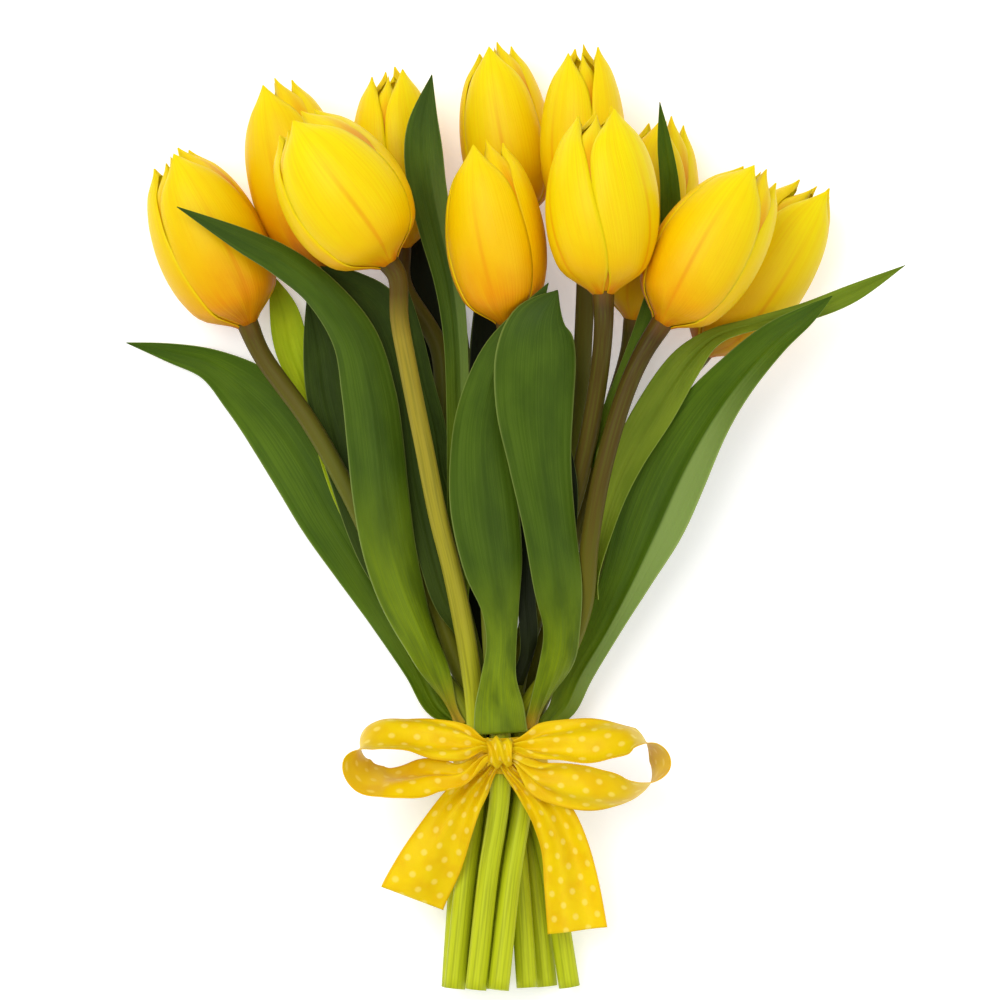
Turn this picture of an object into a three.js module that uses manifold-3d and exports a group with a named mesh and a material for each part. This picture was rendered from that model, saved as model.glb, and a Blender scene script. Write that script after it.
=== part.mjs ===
// A cut bunch of eleven tulips, tied at the waist with a dotted ribbon, lying on its back.
// Millimetres. +Z is up, +Y runs from the tie to the blooms, and the origin is on the
// surface under the tie.
import * as THREE from 'three';
import { mergeVertices } from 'three/addons/utils/BufferGeometryUtils.js';
import Module from 'manifold-3d';

const wasm = await Module();
wasm.setup();

// Driving dimensions
const stemRadius = 3.6;
const stemSides = 7;
const stemStep = 15;
const touchGap = 0.3;
const bandGap = 0.6;
const cutEnd = -79;
const tieFrom = -4;
const tieTo = 10;
const tieMargin = 6;
const ribbonWidth = 24.4;
const ribbonThick = 1.0;
const rowPitch = 7.9;
const rowRise = 6.85;
const petalRootThick = 4.4;
const petalTipThick = 1.1;
const petalStep = 1.3;
const petalRows = 5;
const petalColumns = 3;
const petalReach = THREE.MathUtils.degToRad(57);
const outerLean = 7;
const innerLean = 3;
const leafThick = 0.9;
const leafRowLength = 16;
const leafColumns = 4;
const fewestLeafRows = 6;
const tipWidth = 1.4;
const weldGrains = [0.4, 0.25, 0.15, 0.08, 0.03];
const thinnestFace = 0.0005;
const mostTurns = 20;
const turnStep = 0.9;
const joinGrain = 1e-4;
const pathStep = 0.01;
const searchHalvings = 30;

const materials = {
  petal: new THREE.MeshStandardMaterial({ color: 0xf6c100, roughness: 0.5, metalness: 0 }),
  stem: new THREE.MeshStandardMaterial({ color: 0x8f9a2a, roughness: 0.55, metalness: 0 }),
  leaf: new THREE.MeshStandardMaterial({ color: 0x4c6b1c, roughness: 0.55, metalness: 0 }),
  ribbon: new THREE.MeshStandardMaterial({ color: 0xf0be10, roughness: 0.4, metalness: 0 }),
};

// A value on a smooth curve through evenly spaced values
function smoothAt(values, t) {
  const place = THREE.MathUtils.clamp(t, 0, 1) * (values.length - 1);
  const first = Math.min(Math.floor(place), values.length - 2);
  const f = place - first;
  const at = (k) => values[THREE.MathUtils.clamp(k, 0, values.length - 1)];
  const [a, b, c, d] = [at(first - 1), at(first), at(first + 1), at(first + 2)];
  return b + 0.5 * f * (c - a + f * (2 * a - 5 * b + 4 * c - d + f * (3 * (b - c) + d - a)));
}

// One row of numbers on smooth curves through several rows
function rowAt(rows, t) {
  return rows[0].map((_, column) => smoothAt(rows.map((row) => row[column]), t));
}

function signedVolume(points, faces) {
  const cross = new THREE.Vector3();
  let volume = 0;
  for (const [a, b, c] of faces) {
    volume += points[a].dot(cross.crossVectors(points[b], points[c])) / 6;
  }
  return volume;
}

function meshFrom(points, faces) {
  const outward = signedVolume(points, faces) > 0;
  const geometry = new THREE.BufferGeometry();
  geometry.setFromPoints(points);
  geometry.setIndex(faces.flatMap(([a, b, c]) => (outward ? [a, b, c] : [a, c, b])));
  return geometry;
}

// A thin solid between two grids of points of the same size, closed round its rim
function closedSheet(front, back) {
  const rows = front.length;
  const columns = front[0].length;
  const points = [...front.flat(), ...back.flat()];
  const faceIndex = (i, j) => i * columns + j;
  const backIndex = (i, j) => rows * columns + i * columns + j;
  const faces = [];
  for (let i = 0; i < rows - 1; i += 1) {
    for (let j = 0; j < columns - 1; j += 1) {
      const corners = [[i, j], [i + 1, j], [i + 1, j + 1], [i, j + 1]];
      const [a, b, c, d] = corners.map(([u, v]) => faceIndex(u, v));
      const [e, f, g, h] = corners.map(([u, v]) => backIndex(u, v));
      faces.push([a, b, c], [a, c, d], [e, g, f], [e, h, g]);
    }
  }
  const rim = [];
  for (let j = 0; j < columns - 1; j += 1) rim.push([0, j]);
  for (let i = 0; i < rows - 1; i += 1) rim.push([i, columns - 1]);
  for (let j = columns - 1; j > 0; j -= 1) rim.push([rows - 1, j]);
  for (let i = rows - 1; i > 0; i -= 1) rim.push([i, 0]);
  rim.forEach(([i, j], k) => {
    const [u, v] = rim[(k + 1) % rim.length];
    faces.push([faceIndex(i, j), faceIndex(u, v), backIndex(u, v)]);
    faces.push([faceIndex(i, j), backIndex(u, v), backIndex(i, j)]);
  });
  return meshFrom(points, faces);
}

function toSolid(geometry) {
  const bare = geometry.clone();
  bare.deleteAttribute('normal');
  bare.deleteAttribute('uv');
  const merged = mergeVertices(bare, joinGrain);
  const mesh = new wasm.Mesh({
    numProp: 3,
    vertProperties: new Float32Array(merged.attributes.position.array),
    triVerts: new Uint32Array(merged.index.array),
  });
  return new wasm.Manifold(mesh);
}

// The largest body of a joined solid: sealed hollows are filled, and loose scraps dropped
function largestBody(solid) {
  return solid.decompose().sort((a, b) => b.volume() - a.volume())[0];
}

// Points closer than the grain become one, and faces that this flattens are dropped
function welded(geometry, grain) {
  const merged = mergeVertices(geometry, grain);
  const index = merged.index.array;
  const kept = new Map();
  for (let k = 0; k < index.length; k += 3) {
    const face = [index[k], index[k + 1], index[k + 2]];
    if (new Set(face).size < 3) continue;
    const key = [...face].sort((a, b) => a - b).join(' ');
    if (kept.has(key)) kept.delete(key);
    else kept.set(key, face);
  }
  merged.setIndex([...kept.values()].flat());
  return merged;
}

// Whether every edge of a geometry lies between exactly two faces
function edgesPair(geometry) {
  const index = geometry.index.array;
  const uses = new Map();
  for (let k = 0; k < index.length; k += 3) {
    for (let corner = 0; corner < 3; corner += 1) {
      const ends = [index[k + corner], index[k + ((corner + 1) % 3)]].sort((a, b) => a - b);
      const key = ends.join(' ');
      uses.set(key, (uses.get(key) ?? 0) + 1);
    }
  }
  return [...uses.values()].every((count) => count === 2);
}

// The least height of any triangle of a geometry
function leastHeight(geometry) {
  const corner = new THREE.Triangle();
  const index = geometry.index.array;
  let least = Infinity;
  for (let k = 0; k < index.length; k += 3) {
    corner.setFromAttributeAndIndices(geometry.attributes.position, ...index.slice(k, k + 3));
    const sides = [corner.a.distanceTo(corner.b), corner.b.distanceTo(corner.c),
      corner.c.distanceTo(corner.a)];
    least = Math.min(least, (2 * corner.getArea()) / Math.max(...sides));
  }
  return least;
}

function isSound(geometry) {
  try {
    return edgesPair(geometry) && leastHeight(geometry) > thinnestFace
      && toSolid(geometry).decompose().length === 1;
  } catch {
    return false;
  }
}

function fromSolid(solid) {
  const mesh = solid.getMesh();
  const geometry = new THREE.BufferGeometry();
  geometry.setAttribute('position', new THREE.BufferAttribute(mesh.vertProperties, 3));
  geometry.setIndex(new THREE.BufferAttribute(mesh.triVerts, 1));
  return geometry;
}

// Where each stem passes through the tie: rows from the surface up, places across
const tieFloor = ribbonThick + bandGap + stemRadius;
const slot = (row, place) => [place * rowPitch, tieFloor + row * rowRise];

// The eleven flowers. base and tip are the bloom's ends, way the stem's points between
// the tie and the bloom, end the stem's place (x, z) at its cut end. spin and twist turn
// the petals, at the base and by the tip, in degrees. rest is how far a low bloom lies
// above the surface.
const flowers = {
  far_left: {
    slot: slot(1, -1.5), end: [-17, 11.5], base: [-88.5, 154, 18], tip: [-116.5, 216, 21],
    way: [[-25, 36, 13.5], [-42, 72, 15.5], [-54, 97, 16.5], [-67, 120, 18]],
    width: 39, spin: 20, twist: -12, rest: 0,
  },
  back_left: {
    slot: slot(0, -1), end: [-12, 5], base: [-61.3, 174, 18], tip: [-81.2, 241.5, 20],
    way: [[-17, 40, 6], [-30, 80, 9], [-43, 120, 12], [-54, 152, 15]],
    width: 36, spin: -30, twist: 8, rest: 0.3,
  },
  mid_left: {
    slot: slot(1, -0.5), end: [-8, 12], base: [-35, 180, 17], tip: [-39, 246, 18],
    way: [[-10, 40, 12.5], [-19, 80, 14], [-20.5, 115, 15], [-21.5, 146, 15.5]],
    width: 31, spin: 55, twist: -10, rest: 0.3,
  },
  tallest: {
    slot: slot(0, 0), end: [-1, 4.9], base: [6.3, 190, 17], tip: [-2.8, 254.5, 19],
    way: [[0, 40, 6], [2, 80, 9], [5, 130, 12], [7.5, 165, 15]],
    width: 32, spin: 0, twist: -12, rest: 0.3,
  },
  mid_right: {
    slot: slot(1, 0.5), end: [9.5, 14], base: [29.8, 187, 36], tip: [28, 253, 37],
    way: [[8, 40, 13], [18, 80, 18], [27, 112, 23], [29, 146, 29]],
    width: 30, spin: 70, twist: 8,
  },
  back_right: {
    slot: slot(0, 1), end: [16.5, 5], base: [47, 155, 17], tip: [58.5, 229, 19],
    way: [[14, 40, 6], [26, 80, 9], [38, 120, 13]],
    width: 34, spin: -20, twist: 10, rest: 0.3,
  },
  far_right: {
    slot: slot(1, 1.5), end: [24.5, 9.5], base: [70.7, 144, 17], tip: [114, 204.8, 20],
    way: [[21, 36, 12], [36, 72, 13], [51, 106, 15]],
    width: 36, spin: 33, twist: -12, rest: 0,
  },
  front_left: {
    slot: slot(2, -1.05), end: [-16, 20], base: [-38.5, 174.7, 57], tip: [-72.5, 226.5, 60],
    way: [[-10.3, 34, 24.3], [-16.3, 66, 31.5], [-21.6, 87, 37], [-26.6, 112, 43.5],
      [-32, 139, 49], [-35, 156, 53]],
    neck: 5, width: 43, spin: 8, twist: -12,
  },
  low_centre: {
    slot: [0, tieFloor + 2 * rowRise + rowPitch], end: [-8.5, 27.5],
    base: [2.5, 153.3, 54], tip: [-6.5, 218.8, 58],
    way: [[-2.5, 40, 30], [-4, 75, 34], [-3, 105, 39], [1, 130, 46]],
    width: 34.5, spin: -12, twist: -14,
  },
  front_right: {
    slot: slot(2, 0), end: [-5, 19.5], base: [35.7, 163.5, 68], tip: [35, 230, 70],
    way: [[8, 40, 25], [19, 72, 33], [27.5, 100, 42], [33.5, 130, 54.5]],
    width: 39, spin: 72, twist: -38,
  },
  outer_right: {
    slot: slot(2, 1.05), end: [-0.5, 28.5], base: [55.8, 153.4, 58.6], tip: [91.2, 209.4, 59.4],
    way: [[22, 37, 28], [29.2, 56, 36], [31.4, 78, 44.5], [36, 104, 53.5],
      [44, 131, 57.5]],
    width: 37, spin: -5, twist: -12,
  },
};

// Blooms
const cupRadius = [0.17, 0.71, 0.91, 0.99, 1.0, 0.95, 0.84, 0.65, 0.34];
const petalBreadth = [0.8, 0.95, 1.0, 1.0, 0.98, 0.93, 0.83, 0.63, 0.1];
const petalShares = [0.97, 0.988, 0.955, 0.964, 0.94, 0.94];
const petalRoot = 0.03;
const openFrom = 0.55;
const thinFrom = 0.62;
const petalCrown = 0.035;
const tipDrop = 0.05;
const leastRadius = 0.5;
const coreTop = 0.84;
const coreRows = 5;
const coreSides = 9;
const coreInset = 2 * petalStep + 0.2;
const coreFoot = stemRadius - 0.4;
const coreLeast = 2;
const corePeak = 0.5;

// Directions of a bloom: along it, towards the viewer above, and across
function bloomAxes(flower) {
  const base = new THREE.Vector3(...flower.base);
  const along = new THREE.Vector3(...flower.tip).sub(base);
  const length = along.length();
  along.normalize();
  const up = new THREE.Vector3(0, 0, 1).addScaledVector(along, -along.z).normalize();
  const across = new THREE.Vector3().crossVectors(along, up);
  return { base, along, up, across, length };
}

function bloomPoint(axes, height, radius, angle) {
  return axes.base.clone()
    .addScaledVector(axes.along, height)
    .addScaledVector(axes.up, radius * Math.cos(angle))
    .addScaledVector(axes.across, radius * Math.sin(angle));
}

// One pointed petal, standing on the cup's outline. inset is how deep it lies under the
// outermost petals, lean how far its tip opens, share its length beside the bloom's.
function petal(axes, flower, { angle, inset, lean, share }) {
  const half = flower.width / 2;
  const twist = THREE.MathUtils.degToRad(flower.twist);
  const grid = (depth) => Array.from({ length: petalRows + 1 }, (_, i) => {
    const t = THREE.MathUtils.lerp(petalRoot, 1, i / petalRows);
    return Array.from({ length: petalColumns + 1 }, (_, j) => {
      const s = (2 * j) / petalColumns - 1;
      const opening = lean * Math.max(0, t - openFrom) ** 2;
      const crown = petalCrown * half * (1 - s * s) * t;
      const free = THREE.MathUtils.smoothstep(t, thinFrom, 1);
      const thick = THREE.MathUtils.lerp(petalRootThick, petalTipThick, free);
      const radius = half * smoothAt(cupRadius, t) - inset - depth * thick + opening + crown;
      const turn = angle + twist * t + s * petalReach * smoothAt(petalBreadth, t);
      const height = axes.length * share * t * (1 - tipDrop * s * s * t);
      return bloomPoint(axes, height, Math.max(radius, leastRadius), turn);
    });
  });
  return closedSheet(grid(0), grid(1));
}

// The closed heart of the bloom, which the petals stand out of
function bloomCore(axes, flower) {
  const profile = [new THREE.Vector2(0, 0)];
  for (let i = 0; i <= coreRows; i += 1) {
    const t = (coreTop * i) / coreRows;
    const radius = (flower.width / 2) * smoothAt(cupRadius, t) - coreInset;
    profile.push(new THREE.Vector2(i === 0 ? coreFoot : Math.max(radius, coreLeast), axes.length * t));
  }
  profile.push(new THREE.Vector2(0, axes.length * coreTop + corePeak));
  const core = new THREE.LatheGeometry(profile, coreSides);
  const place = new THREE.Matrix4().makeBasis(axes.up, axes.along, axes.across.clone().negate());
  core.applyMatrix4(place.setPosition(axes.base));
  return core;
}

// Six petals round the core, the outer ones in turn with the inner ones
function joinedPetals(flower, spin) {
  const axes = bloomAxes(flower);
  let solid = toSolid(bloomCore(axes, flower));
  petalShares.forEach((share, k) => {
    const outer = k % 2 === 0;
    const angle = THREE.MathUtils.degToRad(spin) + (k * Math.PI) / 3;
    const shape = outer ? { inset: 0, lean: outerLean } : { inset: petalStep, lean: innerLean };
    solid = solid.add(toSolid(petal(axes, flower, { angle, share, ...shape })));
  });
  return fromSolid(largestBody(solid));
}

// The bloom, welded with the largest grain that keeps it one closed body. Where its
// petals meet in an edge that no grain mends, it is turned a little further.
function bloom(flower) {
  for (let turn = 0; turn < mostTurns; turn += 1) {
    const geometry = joinedPetals(flower, flower.spin + turn * turnStep);
    for (const grain of weldGrains) {
      const candidate = welded(geometry, grain);
      if (isSound(candidate)) return candidate;
    }
  }
  throw new Error('no sound bloom');
}

// A low bloom is lifted or lowered so that its lowest petal lies at its own rest height
function liftToRest(flower, geometry) {
  if (flower.rest === undefined) return 0;
  geometry.computeBoundingBox();
  return flower.rest - geometry.boundingBox.min.z;
}

// Stems
const neckLength = 11;

function stemCurve(flower) {
  const { base, along } = bloomAxes(flower);
  const [x, z] = flower.slot;
  const neck = base.clone().addScaledVector(along, -(flower.neck ?? neckLength));
  const top = base.clone().addScaledVector(along, -touchGap);
  const [endX, endZ] = flower.end;
  const points = [
    new THREE.Vector3(endX, cutEnd, endZ),
    new THREE.Vector3((endX + x) / 2, cutEnd / 2, (endZ + z) / 2),
    new THREE.Vector3(x, tieFrom - tieMargin, z),
    new THREE.Vector3(x, tieTo + tieMargin, z),
    ...flower.way.map((point) => new THREE.Vector3(...point)),
    neck,
    top,
  ];
  return new THREE.CatmullRomCurve3(points, false, 'centripetal');
}

function stem(curve) {
  const section = new THREE.Shape();
  for (let k = 0; k < stemSides; k += 1) {
    const angle = ((k + 0.5) * 2 * Math.PI) / stemSides;
    const point = [stemRadius * Math.cos(angle), stemRadius * Math.sin(angle)];
    if (k === 0) section.moveTo(...point);
    else section.lineTo(...point);
  }
  const steps = Math.round(curve.getLength() / stemStep);
  return new THREE.ExtrudeGeometry(section, { extrudePath: curve, steps, bevelEnabled: false });
}

// The stem's centre at a given y
function stemCentre(curve, y) {
  let [low, high] = [0, 1];
  for (let k = 0; k < searchHalvings; k += 1) {
    const middle = (low + high) / 2;
    if (curve.getPoint(middle).y < y) low = middle;
    else high = middle;
  }
  return curve.getPoint(low);
}

// Leaves. root is the stem that the leaf grows from, the y of its root, and the side of
// the stem it stands on, in degrees from +X towards +Z. Each row of the blade is
// [x, y, z, width, roll in degrees that lifts the right edge, height of the edges over
// the middle]. wave is the height of the margin's waves. rootRun is the length of blade
// that clasps the stem.
const rootWidth = 6.5;
const rootHug = 1.2;
const rootGap = 0.6;
const rootRun = 9;
const rootTaper = 0.01;
const marginWaves = 3;
const waveSlant = 1.3;
const leaves = {
  leaf_front_centre: {
    root: ['outer_right', 13, 42], rootWidth: 8, wave: 0.6,
    rows: [[19.8, 35, 34, 12, -8, -2], [21.5, 47, 40.5, 13, 0, -2.4], [20.3, 62, 46, 17, 0, -3],
      [17.2, 84, 50, 18.5, 0, -3.2], [14, 105, 55.5, 22, 0, -3.5], [12.3, 124, 61.5, 27, -3, -4],
      [12.6, 142, 67, 28, -4, -4.5], [14, 155, 69.5, 20, 0, -3], [20, 165.5, 68.5, tipWidth, 0, 0]],
  },
  leaf_front_left: {
    root: ['low_centre', 11, 90], rootWidth: 19, wave: 0.5,
    rows: [[-0.5, 30, 34.5, 12.6, 0, -1.5], [0.5, 42, 36, 10.5, 0, -1.5],
      [0, 55, 38.2, 13.5, 0, -2], [-2.5, 70, 41, 21, 0, -3], [-5.5, 91, 44.5, 24, 0, -3],
      [-7, 112, 49, 20, 0, -3], [-5, 128, 54.5, 17, 0, -2.5], [0.5, 144, 60, 13, 5, -1.5],
      [10.5, 158, 64, 7.5, 5, -0.5], [16.8, 168, 66.5, tipWidth, 0, 0]],
  },
  leaf_long_left: {
    root: ['far_left', 14, 130], rootWidth: 5.5, wave: 0.5,
    rows: [[-25, 39, 21.5, 12.5, -25, -2], [-33, 58, 25, 17, -18, -3], [-38.5, 76, 28, 19, -8, -3.5],
      [-41.5, 94, 30, 20, -5, -3.5], [-43.6, 113, 32, 20, -3, -3.5], [-46, 130, 34, 19, 0, -3],
      [-51, 149, 37, 16, 5, -3], [-62.3, 165, 41.5, 12.5, 5, -2.5], [-76, 176, 45, 11, 0, -2],
      [-91, 184, 46.5, 8, 0, -1.5], [-112.7, 195, 46, tipWidth, 0, 0]],
  },
  leaf_far_left: {
    root: ['far_left', 11, 218], rootRun: 3, rootWidth: 5.5, wave: 0.5,
    rows: [[-22.5, 20, 8, 10.5, -30, 0.8], [-28.8, 33, 5.2, 11, -10, 1.2],
      [-38.5, 52, 2.9, 16, 0, 0.8], [-49, 71, 2.4, 21.5, 0, 0.9], [-59, 88, 2.2, 25, 0, 1],
      [-67.5, 104, 2.2, 27, 0, 1], [-78, 120, 2.2, 26, 0, 1.2], [-90, 132, 2.4, 20, 0, 1.6],
      [-102.5, 141, 3, 11.5, 10, 2], [-117, 145.2, 4.5, 7, 20, 1],
      [-132, 148.3, 6, tipWidth, 20, 0]],
  },
  leaf_backlit_left: {
    root: ['back_left', 40, 200], wave: 0.2,
    rows: [[-39, 66, 6, 8, -5, 0.5], [-54, 93, 5.6, 9, 0, 0.5], [-65, 124, 5.4, 8, 0, 0.5],
      [-73, 145, 6, 12, 0, 1], [-76.5, 160, 6.8, 10, 0, 1], [-81, 173, 7, tipWidth, 0, 0]],
  },
  leaf_dark_left: {
    root: ['far_left', 44, 262], wave: 0.2,
    rows: [[-44, 74, 8.8, 13, 0, 0.7], [-54, 103, 8.6, 14, 0, 0.6],
      [-61, 128, 9.2, 14, 0, 0.8], [-64, 148, 10.2, 11, 0, 1], [-68, 165, 11.5, tipWidth, 0, 0]],
  },
  leaf_under_left: {
    root: ['mid_left', 37, 110], wave: 0.3,
    rows: [[-20.5, 62, 18.6, 10, 0, 0.6], [-29.3, 100, 20.6, 12, 0, 1], [-33, 134, 23.5, 18, 0, 1],
      [-41, 157, 26.5, 17, 0, 1], [-51.5, 168, 28.5, 10.5, 0, 0.5], [-63, 174.7, 29.5, tipWidth, 0, 0]],
  },
  leaf_narrow: {
    root: ['mid_left', 76, 38], wave: 0.2,
    rows: [[-20, 101, 25, 6, 0, 0.4], [-22.5, 118, 28, 7, 0, 0.4], [-26.6, 134, 30, 7, 0, 0.4],
      [-30.8, 153, 32, 6, 0, 0.4], [-34.5, 173, 34, tipWidth, 0, 0]],
  },
  leaf_upper_centre: {
    root: ['front_left', 46, 272], wave: 0.4,
    rows: [[-14, 76, 27, 9, 0, 1], [-14.6, 102, 31, 8, 0, 1], [-14.8, 128, 33.5, 8, 0, 1],
      [-15.6, 150, 35.5, 8.5, 0, 1], [-18, 169, 36.5, 10, 0, 1.2], [-22.3, 187, 37.5, 12, 0, 1.5],
      [-25.4, 202, 38, 13.5, 0, 1.5], [-26.8, 215, 38.3, 13.5, 0, 1.5], [-26.6, 226, 38.5, 10, 0, 1],
      [-23.8, 241.5, 38.5, tipWidth, 0, 0]],
  },
  leaf_thin_right: {
    root: ['front_right', 104, 325], wave: 0.2,
    rows: [[42.5, 132, 40, 7, 0, 0.5], [52, 156, 37.5, 8, 0, 0.5], [59, 180, 36.8, 8, 0, 0.5],
      [59.5, 200, 38, 7, 0, 0.5], [57.5, 217, 40, 5, 0, 0.3], [55.8, 231.7, 42, tipWidth, 0, 0]],
  },
  leaf_long_right: {
    root: ['far_right', 11, 40], rootRun: 3, rootWidth: 6, wave: 0.5,
    rows: [[21.8, 20, 14.5, 10, -15, 1], [27.5, 32, 17.5, 11.5, 8, 1.5],
      [36.3, 47, 20.5, 13.5, 20, 2], [45, 65, 23.5, 19, 22, 2.6],
      [53, 84, 25.5, 26, 20, 3], [61.5, 103, 27.5, 27, 20, 3.4], [72, 121, 31.5, 22, 20, 3],
      [83, 135.5, 37, 16.5, 18, 2.4], [95.6, 148.5, 41.5, 12, 15, 2], [107, 157, 43, 7, 10, 1],
      [116, 164, 42.5, tipWidth, 0, 0]],
  },
  leaf_twisted_right: {
    root: ['outer_right', 58, 300], wave: 0.3,
    rows: [[38, 90, 32.5, 9, 5, 1], [44.5, 107, 32, 12, 0, 1.5], [54.3, 124, 32, 14, 0, 1.5],
      [64.8, 140, 33.5, 12, 10, 1], [75, 149.5, 36, 7, 25, 0.5], [88, 154, 38, 5, 20, 0.2],
      [105, 158, 37.5, 6.5, 0, 0.5], [123, 165, 33, 6.5, -10, 0.5], [142, 175, 28, tipWidth, 0, 0]],
  },
  leaf_small_inner: {
    root: ['front_right', 62, 40], wave: 0.1,
    rows: [[24.5, 86, 41.5, 5, 0, 0.4], [24.5, 99, 46.5, 5, 0, 0.4], [24.5, 111, 51, tipWidth, 0, 0]],
  },
  leaf_inner_strip: {
    root: ['front_right', 30, 62], rootWidth: 6, wave: 0.1,
    rows: [[10.1, 47, 32.5, 6.5, 0, 0.4], [9.3, 58, 33, 6.5, 0, 0.4], [9.3, 72, 33.5, 7, 0, 0.4],
      [9.6, 86, 36, 6.5, 0, 0.3], [9, 97, 39, tipWidth, 0, 0]],
  },
  leaf_back_left: {
    root: ['tallest', 26, 200], rootWidth: 5.5, wave: 0.2,
    rows: [[-7.2, 43, 4.2, 7, 0, 0.5], [-9.4, 54, 3, 9, 0, 0.6], [-10.5, 66, 2.8, 12, 0, 0.6],
      [-16, 88, 2.7, 16, 0, 0.8], [-20, 114, 2.7, 22, 0, 0.9], [-22, 138, 2.8, 24, 0, 0.9],
      [-24, 158, 3.2, 22, 0, 0.9], [-27, 175, 3.9, 14, 0, 0.8], [-30, 187, 5, tipWidth, 0, 0]],
  },
  leaf_back_centre: {
    root: ['tallest', 37, 270], rootWidth: 4.6, wave: 0.2,
    rows: [[-1.2, 52, 2.4, 7, 0, 0.4], [3.3, 63, 2.4, 11, 0, 0.5], [5.5, 74, 2.6, 15.5, 0, 0.6],
      [4, 88, 3.3, 18, 0, 0.8], [1.5, 104, 4.3, 20, 0, 0.8], [0, 122, 4.7, 22, 0, 0.9],
      [1, 142, 5, 24, 0, 0.9], [1, 162, 5.3, 20, 0, 0.9], [0, 178, 5.4, 11, 0, 0.5],
      [-1, 188, 5.6, tipWidth, 0, 0]],
  },
};

function rootRows(leaf, curve) {
  const [, y, side] = leaf.root;
  const above = Math.sin(THREE.MathUtils.degToRad(side)) >= 0;
  const roll = above ? side - 90 : side - 270;
  const clear = stemRadius + touchGap + leafThick / 2 + rootGap;
  const width = leaf.rootWidth ?? rootWidth;
  const hug = (above ? -1 : 1) * rootHug * (width / rootWidth) ** 1.2;
  const angle = THREE.MathUtils.degToRad(side);
  return [0, leaf.rootRun ?? rootRun].map((run) => {
    const centre = stemCentre(curve, y + run);
    const along = stemCentre(curve, y + run + 1).sub(centre).normalize();
    const across = new THREE.Vector3().crossVectors(along, new THREE.Vector3(0, 0, 1)).normalize();
    const up = new THREE.Vector3().crossVectors(across, along);
    centre.addScaledVector(across, clear * Math.cos(angle));
    centre.addScaledVector(up, clear * Math.sin(angle));
    return [...centre.toArray(), width * (1 - rootTaper * run), roll, hug];
  });
}

// The blade's middle surface: a point at t along it and s across it, moved by offset
function bladePoint(rows, wave, t, s, offset) {
  const [x, y, z, width, roll, cup] = rowAt(rows, t);
  const before = rowAt(rows, t - pathStep);
  const after = rowAt(rows, t + pathStep);
  const along = new THREE.Vector3(after[0] - before[0], after[1] - before[1], after[2] - before[2]);
  along.normalize();
  const across = new THREE.Vector3().crossVectors(along, new THREE.Vector3(0, 0, 1)).normalize();
  const turn = THREE.MathUtils.degToRad(roll);
  across.applyAxisAngle(along, -turn);
  const normal = new THREE.Vector3().crossVectors(across, along);
  const phase = t * marginWaves * 2 * Math.PI + s * waveSlant;
  const ripple = wave * Math.sin(phase) * s * s * Math.sin(Math.PI * t);
  return new THREE.Vector3(x, y, z)
    .addScaledVector(across, (s * width) / 2)
    .addScaledVector(normal, cup * s * s + ripple + offset);
}

function leafLength(rows) {
  let length = 0;
  for (let k = 1; k < rows.length; k += 1) {
    length += Math.hypot(...[0, 1, 2].map((axis) => rows[k][axis] - rows[k - 1][axis]));
  }
  return length;
}

function leafBlade(leaf, curves) {
  const rows = [...rootRows(leaf, curves[leaf.root[0]]), ...leaf.rows];
  const count = Math.max(fewestLeafRows, Math.round(leafLength(rows) / leafRowLength));
  const grid = (offset) => Array.from({ length: count + 1 }, (_, i) => (
    Array.from({ length: leafColumns + 1 }, (_, j) => (
      bladePoint(rows, leaf.wave, i / count, (2 * j) / leafColumns - 1, offset)))));
  return closedSheet(grid(leafThick / 2), grid(-leafThick / 2));
}

// Ribbon: the band runs round the outermost stems
function hullOf(points) {
  const sorted = [...points].sort((a, b) => a[0] - b[0] || a[1] - b[1]);
  const half = (ordered) => {
    const kept = [];
    for (const [x, z] of ordered) {
      while (kept.length > 1) {
        const [a, b] = kept.slice(-2);
        const turn = (b[0] - a[0]) * (z - a[1]) - (b[1] - a[1]) * (x - a[0]);
        if (turn > 1e-6) break;
        kept.pop();
      }
      kept.push([x, z]);
    }
    return kept.slice(0, -1);
  };
  return [...half(sorted), ...half([...sorted].reverse())];
}

function bandOutline(outline, hull, radius) {
  const normalAngle = ([x, z], [u, w]) => Math.atan2(-(u - x), w - z);
  hull.forEach((corner, k) => {
    const from = normalAngle(hull[(k + hull.length - 1) % hull.length], corner);
    const to = normalAngle(corner, hull[(k + 1) % hull.length]);
    outline.absarc(corner[0], corner[1], radius, from, to, false);
  });
  outline.closePath();
  return outline;
}

function ribbonBand() {
  const hull = hullOf(Object.values(flowers).map((flower) => flower.slot));
  const inside = stemRadius + bandGap;
  const shape = bandOutline(new THREE.Shape(), hull, inside + ribbonThick);
  shape.holes.push(bandOutline(new THREE.Path(), hull, inside));
  const depth = tieTo - tieFrom;
  const band = new THREE.ExtrudeGeometry(shape, { depth, bevelEnabled: false, curveSegments: 3 });
  band.rotateX(Math.PI / 2);
  band.translate(0, tieTo, 0);
  return band;
}

// A strip of ribbon through rows of [x, y, z, width, tilt]. Its width runs upright, and
// tilt leans its upper edge, in degrees, towards the right of its path.
function ribbonPoint(rows, t, s, offset) {
  const [x, y, z, width, tilt] = rowAt(rows, t);
  const before = rowAt(rows, t - pathStep);
  const after = rowAt(rows, t + pathStep);
  const along = new THREE.Vector3(after[0] - before[0], after[1] - before[1], after[2] - before[2]);
  along.normalize();
  const side = new THREE.Vector3().crossVectors(along, new THREE.Vector3(0, 0, 1)).normalize();
  const up = new THREE.Vector3().crossVectors(side, along);
  const turn = THREE.MathUtils.degToRad(tilt);
  const across = up.clone().multiplyScalar(Math.cos(turn)).addScaledVector(side, Math.sin(turn));
  const normal = new THREE.Vector3().crossVectors(across, along);
  return new THREE.Vector3(x, y, z)
    .addScaledVector(across, (s * width) / 2)
    .addScaledVector(normal, offset);
}

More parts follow.
